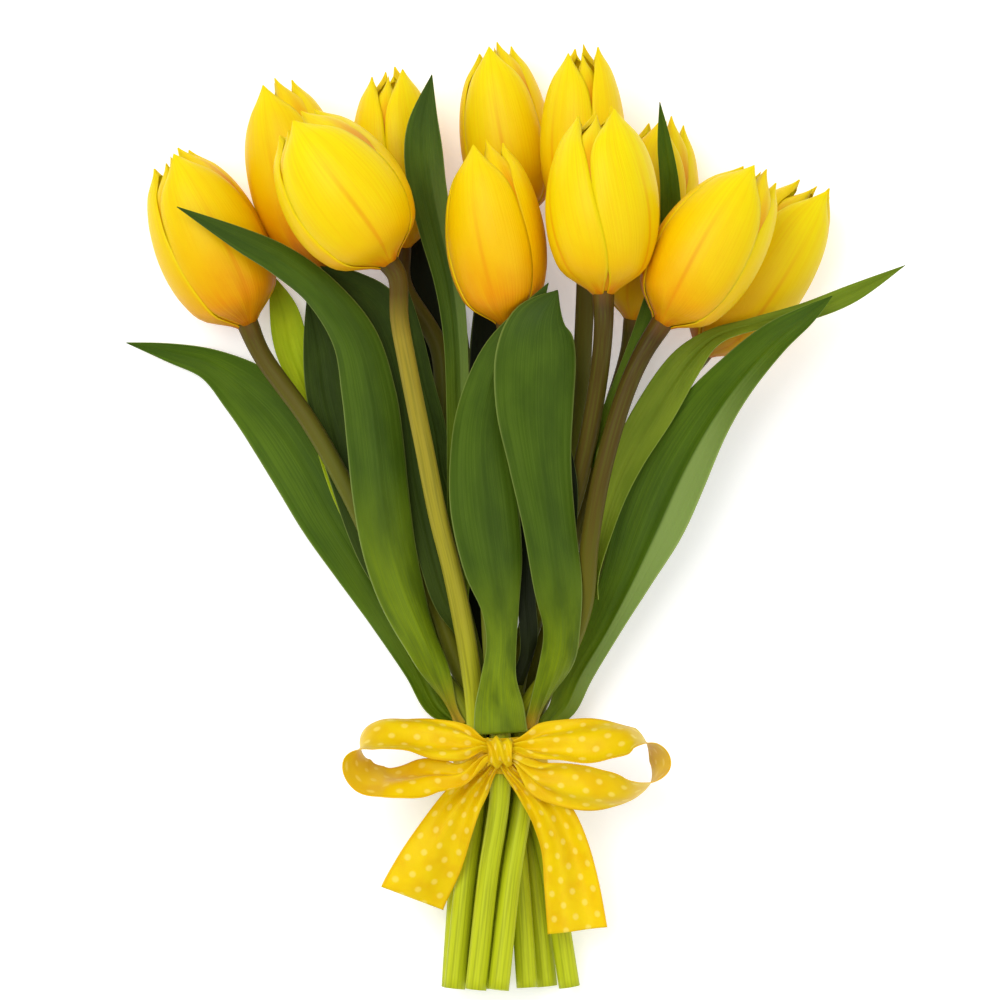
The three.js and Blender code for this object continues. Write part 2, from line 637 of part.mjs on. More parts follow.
function ribbonStrip(rows, count, columns) {
  const grid = (offset) => Array.from({ length: count + 1 }, (_, i) => (
    Array.from({ length: columns + 1 }, (_, j) => (
      ribbonPoint(rows, i / count, (2 * j) / columns - 1, offset)))));
  return closedSheet(grid(ribbonThick / 2), grid(-ribbonThick / 2));
}

const bandTop = tieFloor + 2 * rowRise + rowPitch + stemRadius + bandGap + ribbonThick;
const knotY = 4.5;
const knotHalf = { x: 5.7, y: 5.7, z: 4 };
const knotHigh = bandTop + touchGap + knotHalf.z;
const full = ribbonWidth;
const strips = {
  ribbon_loop_left: {
    count: 22,
    rows: [[-5.9, 6.8, knotHigh, 6, -40], [-13, 8.2, 37.8, 14, -60], [-22, 9.2, 39, 17.5, -57],
      [-32, 10.5, 40, 20.5, -37], [-41, 10.4, 40.5, 23, -26], [-47.5, 7.6, 40.5, full, -10],
      [-50.4, 2, 40.5, full, 20], [-47.5, -3.8, 40.5, full, 26], [-41, -5.6, 40.5, full, 24],
      [-32.5, -5.2, 40.5, 22, 27], [-23.5, -3.9, 40, 17, 40], [-14, -3.2, 39.2, 12, 48],
      [-5.9, 2.4, knotHigh + 0.4, 5.5, 30]],
  },
  ribbon_loop_right: {
    count: 22,
    rows: [[5.9, 6.8, knotHigh, 6, 40], [13, 7.9, 38.4, 13.5, 56], [21.7, 8.5, 40.2, 17, 57],
      [30.3, 8.8, 41.4, 20, 54], [39, 9.7, 41.8, 22, 36], [47, 9.6, 41.5, full, 15],
      [53.6, 6.3, 41.5, full, -10], [56, 0.3, 41.5, full, -16], [52.6, -6, 41.5, full, 2],
      [45, -9.2, 41.5, 24, 20], [37, -9, 41, 21.5, 42], [29, -8, 39.8, 20, 57],
      [20.5, -6.3, 38.8, 18, 61], [13, -4, 37.8, 13, 58], [5.9, 1.9, knotHigh + 0.4, 5.5, 30]],
  },
  ribbon_tail_left: {
    count: 10,
    rows: [[-4.2, -2, 32.9, 6, 90], [-8.5, -7, 33, 11, 90], [-13.5, -13.5, 32.8, 14.5, 90],
      [-18.5, -22.5, 31.5, 18, 86], [-24, -34, 28.5, 22, 80], [-30.8, -47.2, 23.5, full, 72]],
  },
  ribbon_tail_right: {
    count: 10,
    rows: [[4.2, -2.6, 33.2, 6, 90], [11.5, -9.5, 31.5, 11, 92], [18.3, -18, 29.5, 15, 92],
      [22.7, -29, 27, 16.8, 92], [25.2, -43, 25.5, 19.5, 92], [27.2, -58.5, 25, 21.2, 92]],
  },
};

const knotSides = 10;
const knotRings = 6;

function ribbonKnot() {
  const knot = new THREE.SphereGeometry(1, knotSides, knotRings);
  knot.scale(knotHalf.x, knotHalf.y, knotHalf.z);
  knot.translate(0, knotY, knotHigh);
  return fromSolid(toSolid(knot));
}

function named(name, geometry, material) {
  const mesh = new THREE.Mesh(geometry, material);
  mesh.name = name;
  return mesh;
}

const bunch = new THREE.Group();
const curves = {};
for (const [name, drawn] of Object.entries(flowers)) {
  const petals = bloom(drawn);
  const lift = liftToRest(drawn, petals);
  petals.translate(0, 0, lift);
  const raised = ([x, y, z]) => [x, y, z + lift];
  curves[name] = stemCurve({ ...drawn, base: raised(drawn.base), tip: raised(drawn.tip) });
  bunch.add(named(`bloom_${name}`, petals, materials.petal));
  bunch.add(named(`stem_${name}`, stem(curves[name]), materials.stem));
}
for (const [name, leaf] of Object.entries(leaves)) {
  bunch.add(named(name, leafBlade(leaf, curves), materials.leaf));
}
bunch.add(named('ribbon_band', ribbonBand(), materials.ribbon));
bunch.add(named('ribbon_knot', ribbonKnot(), materials.ribbon));
for (const [name, { rows, count }] of Object.entries(strips)) {
  bunch.add(named(name, ribbonStrip(rows, count, 3), materials.ribbon));
}

export default bunch;
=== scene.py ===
# %% [markdown]
# # A tied bunch of yellow tulips
# The bunch lies on its back on a pale table: eleven closed tulips, their long leaves, and a
# dotted ribbon bow round the waist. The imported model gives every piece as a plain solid. This
# lesson replaces each of them with a fine mesh and a procedural finish.

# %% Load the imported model
import math

import bpy
import numpy as np
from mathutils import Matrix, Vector
from mathutils.geometry import convex_hull_2d


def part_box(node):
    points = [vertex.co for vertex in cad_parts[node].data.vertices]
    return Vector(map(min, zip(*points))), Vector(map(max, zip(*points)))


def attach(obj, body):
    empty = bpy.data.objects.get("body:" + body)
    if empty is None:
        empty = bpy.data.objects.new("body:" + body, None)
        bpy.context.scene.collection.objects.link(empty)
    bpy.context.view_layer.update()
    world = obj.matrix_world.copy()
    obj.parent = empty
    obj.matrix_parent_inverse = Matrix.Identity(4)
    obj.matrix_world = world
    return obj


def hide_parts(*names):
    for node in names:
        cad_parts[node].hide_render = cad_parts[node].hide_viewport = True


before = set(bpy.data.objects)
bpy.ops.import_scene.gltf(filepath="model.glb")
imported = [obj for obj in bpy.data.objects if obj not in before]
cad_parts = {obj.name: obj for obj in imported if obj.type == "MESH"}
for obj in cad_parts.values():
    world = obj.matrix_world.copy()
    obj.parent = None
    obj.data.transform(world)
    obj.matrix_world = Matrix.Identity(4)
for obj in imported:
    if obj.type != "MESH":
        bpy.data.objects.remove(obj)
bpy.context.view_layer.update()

MM = 0.001
UP = np.array([0, 0, 1.0])


def placed(name, data):
    """A new object in the scene, made from a mesh, a lamp or a camera."""
    thing = bpy.data.objects.new(name, data)
    bpy.context.scene.collection.objects.link(thing)
    return thing


print("nodes to dress:", len(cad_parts))

# %% [markdown]
# ## The camera
# The photograph looks at the bunch from the front with a long lens, and the bunch lies down
# here, so the camera looks straight down on it. One pixel of the photograph is 0.35 mm on the
# bunch. A high camera with a narrow lens keeps near and far blooms at one scale. Its heights
# are in metres.

# %% Camera
PIXEL = 0.35 * MM
PHOTO_SIDE = 1000
TIE_ROW = 765
CAMERA_HEIGHT = 3.2
MIDDLE_HEIGHT = 0.035
SENSOR = 36.0

camera_data = bpy.data.cameras.new("camera")
camera_data.sensor_width = SENSOR
camera_data.lens = SENSOR * (CAMERA_HEIGHT - MIDDLE_HEIGHT) / (PIXEL * PHOTO_SIDE)
camera = placed("camera", camera_data)
camera.location = (0, (TIE_ROW - PHOTO_SIDE / 2) * PIXEL, CAMERA_HEIGHT)
bpy.context.scene.camera = camera
print("lens:", round(camera_data.lens), "mm")

# %% [markdown]
# ## Curves through a few values
# A petal's outline, a leaf's route and a ribbon's path are each given by a few values, evenly
# spaced from one end to the other. A Catmull-Rom curve passes through all of them, so each
# value can be read as a real size of the piece.

# %% A smooth curve through values or rows of values
def smooth_at(values, t):
    """The value, or the row of values, at t from 0 to 1."""
    values = np.asarray(values, dtype=float)
    last = len(values) - 1
    place = np.clip(t, 0, 1) * last
    first = np.minimum(place.astype(int), last - 1)
    f = place - first
    if values.ndim > 1:
        f = f[..., None]
    a, b = values[np.maximum(first - 1, 0)], values[first]
    c, d = values[first + 1], values[np.minimum(first + 2, last)]
    return b + 0.5 * f * (c - a + f * (2 * a - 5 * b + 4 * c - d + f * (3 * (b - c) + d - a)))


def step_between(low, high, t):
    """0 below low, 1 above high, and a soft step between them."""
    f = np.clip((t - low) / (high - low), 0, 1)
    return f * f * (3 - 2 * f)


def unit(vectors):
    return vectors / np.linalg.norm(vectors, axis=-1, keepdims=True)


def run_along(points):
    """How far along a line each of its points is."""
    return np.concatenate([[0], np.cumsum(np.linalg.norm(np.diff(points, axis=0), axis=1))])


def turned(vectors, axes, angle):
    """Vectors turned round unit axes at right angles to them."""
    return vectors * np.cos(angle)[..., None] + np.cross(axes, vectors) * np.sin(angle)[..., None]


# %% [markdown]
# ## Thin sheets
# Petals, leaves and ribbon are all thin sheets. Each is made from two grids of points, its
# front and its back, joined round the rim. It could be a single surface with a Solidify
# modifier, but two grids let the margin be thinner than the middle, as a real petal's is. The
# UV map runs across the sheet in u and along it in v, for veins, dots and hems.

# %% Faces between grids of points
def grid_faces(index):
    """Four-cornered faces between neighbouring points of a grid."""
    a, b = index[:-1, :-1], index[1:, :-1]
    c, d = index[1:, 1:], index[:-1, 1:]
    return np.stack([a, b, c, d], axis=-1).reshape(-1, 4)


def sheet_faces(rows, columns):
    """Faces of a front grid and a back grid, closed round the rim."""
    size = rows * columns
    index = np.arange(size).reshape(rows, columns)
    front = grid_faces(index)
    rim = np.concatenate([index[0, :-1], index[:-1, -1], index[-1, :0:-1], index[:0:-1, 0]])
    following = np.roll(rim, -1)
    side = np.stack([rim, following, following + size, rim + size], axis=-1)
    return np.concatenate([front, front[:, ::-1] + size, side])


def faces_outward(points, faces):
    """The same faces, all facing out of the closed body."""
    a, b, c, d = (points[faces[:, k]] for k in range(4))
    volume = (a * np.cross(b, c)).sum() + (a * np.cross(c, d)).sum()
    return faces if volume > 0 else faces[:, ::-1]


# %% Pieces from sheets
def mesh_piece(name, points, faces, uvs, tones):
    """A smooth object from points in millimetres, each with a UV and a tone, and faces."""
    mesh = bpy.data.meshes.new(name)
    mesh.from_pydata((points * MM).tolist(), [], faces.tolist())
    layer = mesh.uv_layers.new(name="skin_uv")
    layer.data.foreach_set("uv", uvs[faces.ravel()].ravel())
    tone = mesh.color_attributes.new("tone", "FLOAT_COLOR", "POINT")
    tone.data.foreach_set("color", tones.ravel())
    mesh.shade_smooth()
    return placed(name, mesh)


def uv_pairs(u, v):
    """The UV of every point of a grid, from u across it and v along it."""
    return np.stack(np.broadcast_arrays(u, v), axis=-1).reshape(-1, 2)


def two_sides(flat, height, half_thick, normal):
    """The front and the back of a sheet that stands height above flat."""
    return [flat + (height + side * half_thick)[..., None] * normal[:, None] for side in (1, -1)]


def sheet_piece(name, sheets, faces_of=sheet_faces):
    """One piece made of sheets, each given as a front, a back, u, v and a tone."""
    parts, count = [], 0
    for front, back, u, v, tone in sheets:
        points = np.concatenate([front.reshape(-1, 3), back.reshape(-1, 3)])
        faces = faces_outward(points, faces_of(*front.shape[:2])) + count
        uvs = np.tile(uv_pairs(u, v), (2, 1))
        parts.append((points, faces, uvs, np.tile([*tone, 1.0], (len(points), 1))))
        count += len(points)
    return mesh_piece(name, *(np.concatenate(part) for part in zip(*parts)))


def dress(piece, node, finish):
    """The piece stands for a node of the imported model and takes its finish."""
    piece.data.materials.append(finish)
    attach(piece, "root")
    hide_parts(node)


# %% [markdown]
# ## Building finishes from nodes
# Every finish here is a small node tree that ends in a Principled shader. These helpers add a
# node or two each, and take either a plain value or another node's output, so that a finish
# below reads from top to bottom: a base colour, and layers of other colours over it. Numbers
# that are the same all over go on the shader's own inputs.

# %% Helpers for finishes
def linear(red, green, blue):
    """A colour given as 0 to 255, as a screen shows it, in the shader's linear values."""
    parts = np.array([red, green, blue]) / 255
    low = parts / 12.92
    high = ((parts + 0.055) / 1.055) ** 2.4
    return (*np.where(parts <= 0.04045, low, high), 1.0)


def feed(tree, socket, value):
    """Gives a socket another node's output, a screen colour or a plain value."""
    if isinstance(value, bpy.types.NodeSocket):
        tree.links.new(value, socket)
    elif socket.type == "RGBA":
        socket.default_value = linear(*value)
    else:
        socket.default_value = value


def added(tree, kind, inputs, **settings):
    """A new node's outputs, with values or other nodes' outputs fed to its inputs."""
    node = tree.nodes.new("ShaderNode" + kind)
    for key, value in settings.items():
        setattr(node, key, value)
    for key, value in dict(inputs).items():
        feed(tree, node.inputs[key], value)
    return node.outputs


def maths(tree, operation, *values):
    return added(tree, "Math", enumerate(values), operation=operation)[0]


def product(tree, first, *others):
    for other in others:
        first = maths(tree, "MULTIPLY", first, other)
    return first


def soft_step(tree, value, low, high, least=0.0, most=1.0):
    """least below low, most above high, and a soft step between them."""
    values = enumerate((value, low, high, least, most))
    return added(tree, "MapRange", values, interpolation_type="SMOOTHSTEP")[0]


def mixed(tree, amount, first, second):
    """first where amount is 0, second where it is 1."""
    return added(tree, "Mix", {0: amount, 6: first, 7: second}, data_type="RGBA")[2]


def ramp(tree, value, stops):
    """A colour that runs through stops of (place, colour)."""
    node = tree.nodes.new("ShaderNodeValToRGB")
    feed(tree, node.inputs[0], value)
    elements = node.color_ramp.elements
    while len(elements) < len(stops):
        elements.new(0.5)
    for element, (place, colour) in zip(elements, stops):
        element.position = place
        element.color = linear(*colour)
    return node.outputs[0]


# %% Helpers for places, grain and relief
def skin_uv(tree):
    """The UV across and along the sheet, and the vector that holds both."""
    uv = added(tree, "UVMap", {}, uv_map="skin_uv")[0]
    apart = added(tree, "SeparateXYZ", {0: uv})
    return apart[0], apart[1], uv


def tone_parts(tree):
    """The three tones stored on the piece's points."""
    tone = added(tree, "Attribute", {}, attribute_name="tone")["Color"]
    return added(tree, "SeparateColor", {0: tone})


def from_middle(tree, across):
    """0 on the middle line of a sheet and 1 on its margins."""
    return maths(tree, "ABSOLUTE", maths(tree, "MULTIPLY_ADD", across, 2.0, -1.0))


def grain(tree, uv, across, along, detail=3.0):
    """Noise with a scale of its own across the UV map and along it."""
    stretched = added(tree, "VectorMath", {0: uv, 1: (across, along, 1.0)}, operation="MULTIPLY")
    settings = {"Vector": stretched[0], "Scale": 1.0, "Detail": detail}
    return added(tree, "TexNoise", settings)["Fac"]


def coat(tree, skin, colour, layers, height, depth, strength):
    """Gives the shader a colour with layers of (amount, colour) over it, and a relief."""
    for amount, over in layers:
        colour = mixed(tree, amount, colour, over)
    feed(tree, skin.inputs["Base Color"], colour)
    relief = added(tree, "Bump", {"Height": height, "Distance": depth, "Strength": strength})
    feed(tree, skin.inputs["Normal"], relief[0])


def new_finish(name, roughness, **settings):
    finish = bpy.data.materials.new(name)
    finish.use_nodes = True
    skin = finish.node_tree.nodes["Principled BSDF"]
    skin.inputs["Roughness"].default_value = roughness
    for key, value in settings.items():
        skin.inputs[key.replace("_", " ")].default_value = value
    return finish, finish.node_tree, skin


def soft_finish(name, roughness, glow, depth, reach, **settings):
    """A finish with a faint shine, that light gets into and spreads in."""
    return new_finish(
        name, roughness, Subsurface_Weight=glow, Subsurface_Scale=depth, Subsurface_Radius=reach,
        Specular_IOR_Level=0.12, **settings)


# %% [markdown]
# ## Where the flowers stand
# Each flower is a closed tulip on its stem. base and tip are the ends of the bloom, way is the
# stem's route between the tie and the bloom, slot is where the stem passes through the tie and
# end is where it is cut, both as x and z. These are millimetres, in the imported model's frame.
# spin and twist turn the petals round the cup, in degrees. The warmth value is painted light: how
# much orange glow and shade is painted on the bloom, and glow says on which side more so. The ones
# in front are painted lit yellow, the ones behind are painted glowing orange, as if in shade.

# %% The eleven flowers
STEM_RADIUS = 3.6
BAND_GAP = 0.6
BAND_THICK = 1.0
ROW_PITCH = 7.9
ROW_RISE = 6.85
TIE_FLOOR = BAND_THICK + BAND_GAP + STEM_RADIUS


def slot(row, place):
    return (place * ROW_PITCH, TIE_FLOOR + row * ROW_RISE)


FLOWERS = {
    "far_left": dict(
        slot=slot(1, -1.5), end=(-17, 11.5), base=(-88.5, 154, 18), tip=(-116.5, 216, 21),
        way=[(-25, 36, 13.5), (-42, 72, 15.5), (-54, 97, 16.5), (-67, 120, 18)],
        width=39, spin=20, twist=-12, painted_warmth=0.6, glow=90),
    "back_left": dict(
        slot=slot(0, -1), end=(-12, 5), base=(-61.3, 174, 18), tip=(-81.2, 241.5, 20),
        way=[(-17, 40, 6), (-30, 80, 9), (-43, 120, 12), (-54, 152, 15)],
        width=36, spin=-30, twist=8, painted_warmth=0.9, glow=80),
    "mid_left": dict(
        slot=slot(1, -0.5), end=(-8, 12), base=(-35, 180, 17), tip=(-39, 246, 18),
        way=[(-10, 40, 12.5), (-19, 80, 14), (-20.5, 115, 15), (-21.5, 146, 15.5)],
        width=31, spin=55, twist=-10, painted_warmth=0.35),
    "tallest": dict(
        slot=slot(0, 0), end=(-1, 4.9), base=(6.3, 190, 17), tip=(-2.8, 254.5, 19),
        way=[(0, 40, 6), (2, 80, 9), (5, 130, 12), (7.5, 165, 15)],
        width=32, spin=0, twist=-12, painted_warmth=0.3),
    "mid_right": dict(
        slot=slot(1, 0.5), end=(9.5, 14), base=(29.8, 187, 36), tip=(28, 253, 37),
        way=[(8, 40, 13), (18, 80, 18), (27, 112, 23), (29, 146, 29)],
        width=30, spin=70, twist=8, painted_warmth=0.35),
    "back_right": dict(
        slot=slot(0, 1), end=(16.5, 5), base=(47, 155, 17), tip=(58.5, 229, 19),
        way=[(14, 40, 6), (26, 80, 9), (38, 120, 13)],
        width=34, spin=-20, twist=10, painted_warmth=0.3),
    "far_right": dict(
        slot=slot(1, 1.5), end=(24.5, 9.5), base=(70.7, 144, 17), tip=(114, 204.8, 20),
        way=[(21, 36, 12), (36, 72, 13), (51, 106, 15)],
        width=36, spin=33, twist=-12, painted_warmth=0.45, glow=-100),
    "front_left": dict(
        slot=slot(2, -1.05), end=(-16, 20), base=(-38.5, 174.7, 57), tip=(-72.5, 226.5, 60),
        way=[(-10.3, 34, 24.3), (-16.3, 66, 31.5), (-21.6, 87, 37), (-26.6, 112, 43.5),
             (-32, 139, 49), (-35, 156, 53)],
        width=43, spin=8, twist=-12, painted_warmth=0.1, neck=5),
    "low_centre": dict(
        slot=(0, TIE_FLOOR + 2 * ROW_RISE + ROW_PITCH), end=(-8.5, 27.5),
        base=(2.5, 153.3, 54), tip=(-6.5, 218.8, 58),
        way=[(-2.5, 40, 30), (-4, 75, 34), (-3, 105, 39), (1, 130, 46)],
        width=34.5, spin=-12, twist=-14, painted_warmth=0.8, glow=95),
    "front_right": dict(
        slot=slot(2, 0), end=(-5, 19.5), base=(35.7, 163.5, 68), tip=(35, 230, 70),
        way=[(8, 40, 25), (19, 72, 33), (27.5, 100, 42), (33.5, 130, 54.5)],
        width=39, spin=72, twist=-38, painted_warmth=0.12),
    "outer_right": dict(
        slot=slot(2, 1.05), end=(-0.5, 28.5), base=(55.8, 153.4, 58.6), tip=(91.2, 209.4, 59.4),
        way=[(22, 37, 28), (29.2, 56, 36), (31.4, 78, 44.5), (36, 104, 53.5), (44, 131, 57.5)],
        width=37, spin=-5, twist=-12, painted_warmth=0.35, glow=-100),
}
print("flowers:", len(FLOWERS))

# %% [markdown]
# ## Petals
# A tulip has three outer petals and three inner ones. Each stands on the cup's outline, curves
# round it, and ends in a short point. The cup's radius along the bloom and the petal's breadth
# are two short lists. On that outline each petal gets a groove down the middle, margins that hug
# the petal below and wave, and one side that laps over the next.

# %% The petal's shape
CUP_RADIUS = [0.17, 0.71, 0.91, 0.99, 1.0, 0.95, 0.84, 0.65, 0.34]
PETAL_BREADTH = [0.8, 0.95, 1.0, 1.0, 0.99, 0.97, 0.94, 0.88, 0.8]
ROUND_FROM, ROUND_POWER, BLUNT = 0.74, 2.6, 0.02
PETAL_SHARES = [0.97, 0.988, 0.955, 0.964, 0.94, 0.94]
PETAL_REACH = math.radians(61)
PETAL_ROWS, PETAL_COLUMNS = 44, 26
PETAL_THICK, MARGIN_THINNING = 0.55, 0.5
OUTER = dict(inset=0, lean=5, hug=0.5)
INNER = dict(inset=1.3, lean=-11, hug=0.2)
OPEN_FROM = 0.55
CROWN = 0.035
TIP_DROP = 0.05
LAP, LAP_STARTS = 0.12, (0.05, 0.3)
GROOVE, GROOVE_WIDE, GROOVE_STARTS = 0.45, 0.09, (0, 0.12)
WAVE, WAVE_STARTS = 0.2, (0.3, 0.75)
WAVE_FADE, WAVE_FADES = 0.7, (0.8, 1)
WAVE_RATE, WAVE_SLANT = 9.5, 1.7
LEAST_RADIUS = 0.4
# How much more painted orange glow the petals turned to the glow side get.
PAINTED_GLOW_SHARE = 0.6


def bloom_axes(flower):
    """The bloom's base, length, and its directions along, towards the camera and across."""
    base, tip = np.array(flower["base"], float), np.array(flower["tip"], float)
    length = np.linalg.norm(tip - base)
    along = (tip - base) / length
    up = unit(UP - along[2] * along)
    return base, length, along, up, np.cross(along, up)


def petal_places():
    """Places along a petal, closer together towards its round tip."""
    even = np.linspace(0, 1, PETAL_ROWS)[:, None]
    return np.sin(even * math.pi / 2)


def petal_grid(flower, petal, depth):
    """Points on the petal, in millimetres. depth is 0 on its outside and 1 on its inside."""
    base, length, along, up, across = bloom_axes(flower)
    half = flower["width"] / 2
    t = petal_places()
    s = np.linspace(-1, 1, PETAL_COLUMNS)[None, :]
    radius = half * smooth_at(CUP_RADIUS, t) - petal["inset"]
    radius = radius + petal["lean"] * np.maximum(0, t - OPEN_FROM) ** 2
    radius = radius + CROWN * half * (1 - s**2) * t + LAP * s * step_between(*LAP_STARTS, t)
    groove = GROOVE * np.exp(-((s / GROOVE_WIDE) ** 2))
    radius = radius - groove * (1 - t) * step_between(*GROOVE_STARTS, t)
    radius = radius - petal["hug"] * s**6
    waving = step_between(*WAVE_STARTS, t) * (1 - WAVE_FADE * step_between(*WAVE_FADES, t))
    wave = np.sin(WAVE_RATE * t + petal["phase"] + WAVE_SLANT * s)
    radius = radius + WAVE * s**2 * waving * wave
    radius = radius - depth * PETAL_THICK * (1 - MARGIN_THINNING * s**4)
    angle = petal["angle"] + math.radians(flower["twist"]) * t
    near_tip = np.clip((t - ROUND_FROM) / (1 - ROUND_FROM), 0, 1)
    rounding = BLUNT + np.sqrt(1 - near_tip**ROUND_POWER)
    angle = angle + s * PETAL_REACH * smooth_at(PETAL_BREADTH, t) * rounding
    height = length * petal["share"] * t * (1 - TIP_DROP * s**2 * t)
    radius = np.maximum(radius, LEAST_RADIUS)[..., None]
    return (base + height[..., None] * along
            + radius * (np.cos(angle)[..., None] * up + np.sin(angle)[..., None] * across))


def petals_of(flower, random):
    """The six petals in turn. tone is the painted orange glow and shade, lightness, and 1 for an
    inner petal.
    """
    # Petals turned to the glow side get more of the painted orange glow and shade.
    painted_glow_side = math.radians(flower.get("glow", 180))
    for k, share in enumerate(PETAL_SHARES):
        angle = math.radians(flower["spin"] + 0.5 * flower["twist"]) + k * math.pi / 3
        turned_to_painted_glow = (1 + math.cos(angle - painted_glow_side)) / 2
        painted_warmth = min(1.0, flower["painted_warmth"] + PAINTED_GLOW_SHARE * turned_to_painted_glow**2)
        yield dict(
            angle=math.radians(flower["spin"]) + k * math.pi / 3,
            share=share,
            phase=random.uniform(0, math.tau),
            tone=(painted_warmth, random.uniform(0, 1), k % 2),
            **(INNER if k % 2 else OUTER),
        )


# %% [markdown]
# ## The petal's finish
# A petal is waxy and lets light through, so the Principled shader gets some subsurface light.
# Its colour runs from ember orange at the base to lemon at the tip, with fine lengthwise veins.
# The orange towards the base is painted shade and glow, from light bouncing between the petals.
# Painted shade also darkens the groove down the middle and the slit between the outer petals,
# and a painted highlight brightens the thin margin. Two colour ramps, one warm and one cool, are
# mixed by the petal's painted glow and shade, which is stored on its points. That costs less
# than a finish for each petal.

# %% Petal finish
LEMON = (243, 218, 2)
YELLOW = (241, 202, 1)
GOLDEN = (236, 176, 0)
# The last two colours, orange and ember, are painted shade and glow: they colour the base, the
# groove and the slit between the outer petals.
SHADE_ORANGE = (224, 124, 0)
SHADE_EMBER = (168, 74, 0)


def petal_finish():
    finish, tree, skin = soft_finish("petal", 0.42, 0.22, 4 * MM, (1.0, 0.55, 0.05))
    across, along, uv = skin_uv(tree)
    painted_warmth, lightness, inner = tone_parts(tree)
    edge = from_middle(tree, across)
    cloud = grain(tree, uv, 3, 4, 2.0)
    place = maths(tree, "ADD", along, maths(tree, "MULTIPLY_ADD", cloud, 0.24, -0.12))
    # Both ramps start from painted shade and glow at the base; the warm one, for the petals painted
    # as glowing, has more of it.
    painted_warm = ramp(tree, place, [
        (0.0, SHADE_EMBER), (0.16, SHADE_ORANGE), (0.42, GOLDEN), (0.8, YELLOW), (1.0, LEMON)])
    cool = ramp(tree, place, [(0.0, SHADE_ORANGE), (0.07, GOLDEN), (0.3, YELLOW), (0.85, LEMON)])
    colour = mixed(tree, painted_warmth, cool, painted_warm)
    veins = soft_step(tree, grain(tree, uv, 46, 1.7), 0.42, 0.68, 0.0, 0.3)
    # A painted highlight: a bright rim where light comes through the thin margin.
    rim = soft_step(tree, edge, 0.92, 1.0, 0.0, 0.6)
    # Painted shade in the groove down the middle of the petal.
    midrib = soft_step(tree, edge, 0.0, 0.07, 0.5, 0.0)
    midrib = product(tree, midrib, soft_step(tree, along, 0.3, 0.9, 1.0, 0.0))
    # Painted shade on the inner petals where they show through the slit between the outer petals.
    painted_slit_shade = soft_step(tree, edge, 0.04, 0.3, 0.85, 0.0)
    painted_slit_shade = product(tree, inner, painted_slit_shade, soft_step(tree, along, 0.7, 0.95, 1.0, 0.0))
    deeper = maths(tree, "MULTIPLY_ADD", inner, 0.22, product(tree, lightness, 0.16))
    layers = [(veins, GOLDEN), (rim, LEMON), (midrib, SHADE_ORANGE), (painted_slit_shade, SHADE_ORANGE), (deeper, GOLDEN)]
    coat(tree, skin, colour, layers, grain(tree, uv, 60, 2.2), 0.25 * MM, 0.5)
    return finish


PETAL = petal_finish()

# %% [markdown]
# ## Put the blooms together
# Six petals become one piece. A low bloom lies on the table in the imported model, or just above
# it, so the fine bloom is raised or lowered by what brings its lowest petal to that height.

# %% Blooms
LOW_BASE = 20
LIFTS = {}
random = np.random.default_rng(11)
for name, flower in FLOWERS.items():
    grids = [(petal, petal_grid(flower, petal, 0), petal_grid(flower, petal, 1))
             for petal in petals_of(flower, random)]
    lowest = min(front[..., 2].min() for _, front, _ in grids)
    is_low = flower["base"][2] < LOW_BASE
    LIFTS[name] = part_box(f"bloom_{name}")[0].z / MM - lowest if is_low else 0.0
    lift = np.array([0, 0, LIFTS[name]])
    u = np.linspace(0, 1, PETAL_COLUMNS)[None, :]
    v = petal_places()
    sheets = [(front + lift, back + lift, u, v, petal["tone"]) for petal, front, back in grids]
    dress(sheet_piece(f"petals_{name}", sheets), f"bloom_{name}", PETAL)
    print("bloom", name, "raised by", round(float(LIFTS[name]), 2), "mm")

# %% [markdown]
# ## Stems
# A tulip's stem is one smooth tube that bends in the air and runs straight through the tie. Its
# route is a centripetal Catmull-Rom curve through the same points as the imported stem. A curve
# object with a bevel would do, but rings of our own give a stem that swells under the bloom and
# ends in a clean cut.

# %% The stem's route
CUT_END = -79
TIE_FROM, TIE_TO, TIE_MARGIN = -4, 10, 6
NECK = 11
STEM_INSIDE = 2.2


def stem_points(name):
    """The points that the stem passes through, from the cut end to the bloom."""
    flower = FLOWERS[name]
    base, _, along, _, _ = bloom_axes(flower)
    base = base + [0, 0, LIFTS[name]]
    (x, z), (end_x, end_z) = flower["slot"], flower["end"]
    return np.array([
        (end_x, CUT_END, end_z),
        ((end_x + x) / 2, CUT_END / 2, (end_z + z) / 2),
        (x, TIE_FROM - TIE_MARGIN, z),
        (x, TIE_TO + TIE_MARGIN, z),
        *flower["way"],
        base - flower.get("neck", NECK) * along,
        base + STEM_INSIDE * along,
    ], dtype=float)


def route_point(points, t):
    """A point at t from 0 to 1 on a centripetal Catmull-Rom curve."""
    place = min(max(t, 0.0), 1.0) * (len(points) - 1)
    k = min(int(place), len(points) - 2)
    f = place - k
    before = points[k - 1] if k > 0 else 2 * points[0] - points[1]
    after = points[k + 2] if k + 2 < len(points) else 2 * points[-1] - points[-2]
    a, b, c, d = before, points[k], points[k + 1], after
    ab, bc, cd = (math.sqrt(np.linalg.norm(q - p)) for p, q in ((a, b), (b, c), (c, d)))
    leave = bc * ((b - a) / ab - (c - a) / (ab + bc) + (c - b) / bc)
    arrive = bc * ((c - b) / bc - (d - b) / (bc + cd) + (d - c) / cd)
    return (b + f * leave + f**2 * (3 * (c - b) - 2 * leave - arrive)
            + f**3 * (2 * (b - c) + leave + arrive))


ROUTES = {name: stem_points(name) for name in FLOWERS}


def route_at_y(name, y):
    """The stem's centre where it passes a given y."""
    low, high = 0.0, 1.0
    for _ in range(30):
        middle = (low + high) / 2
        if route_point(ROUTES[name], middle)[1] < y:
            low = middle
        else:
            high = middle
    return route_point(ROUTES[name], low)


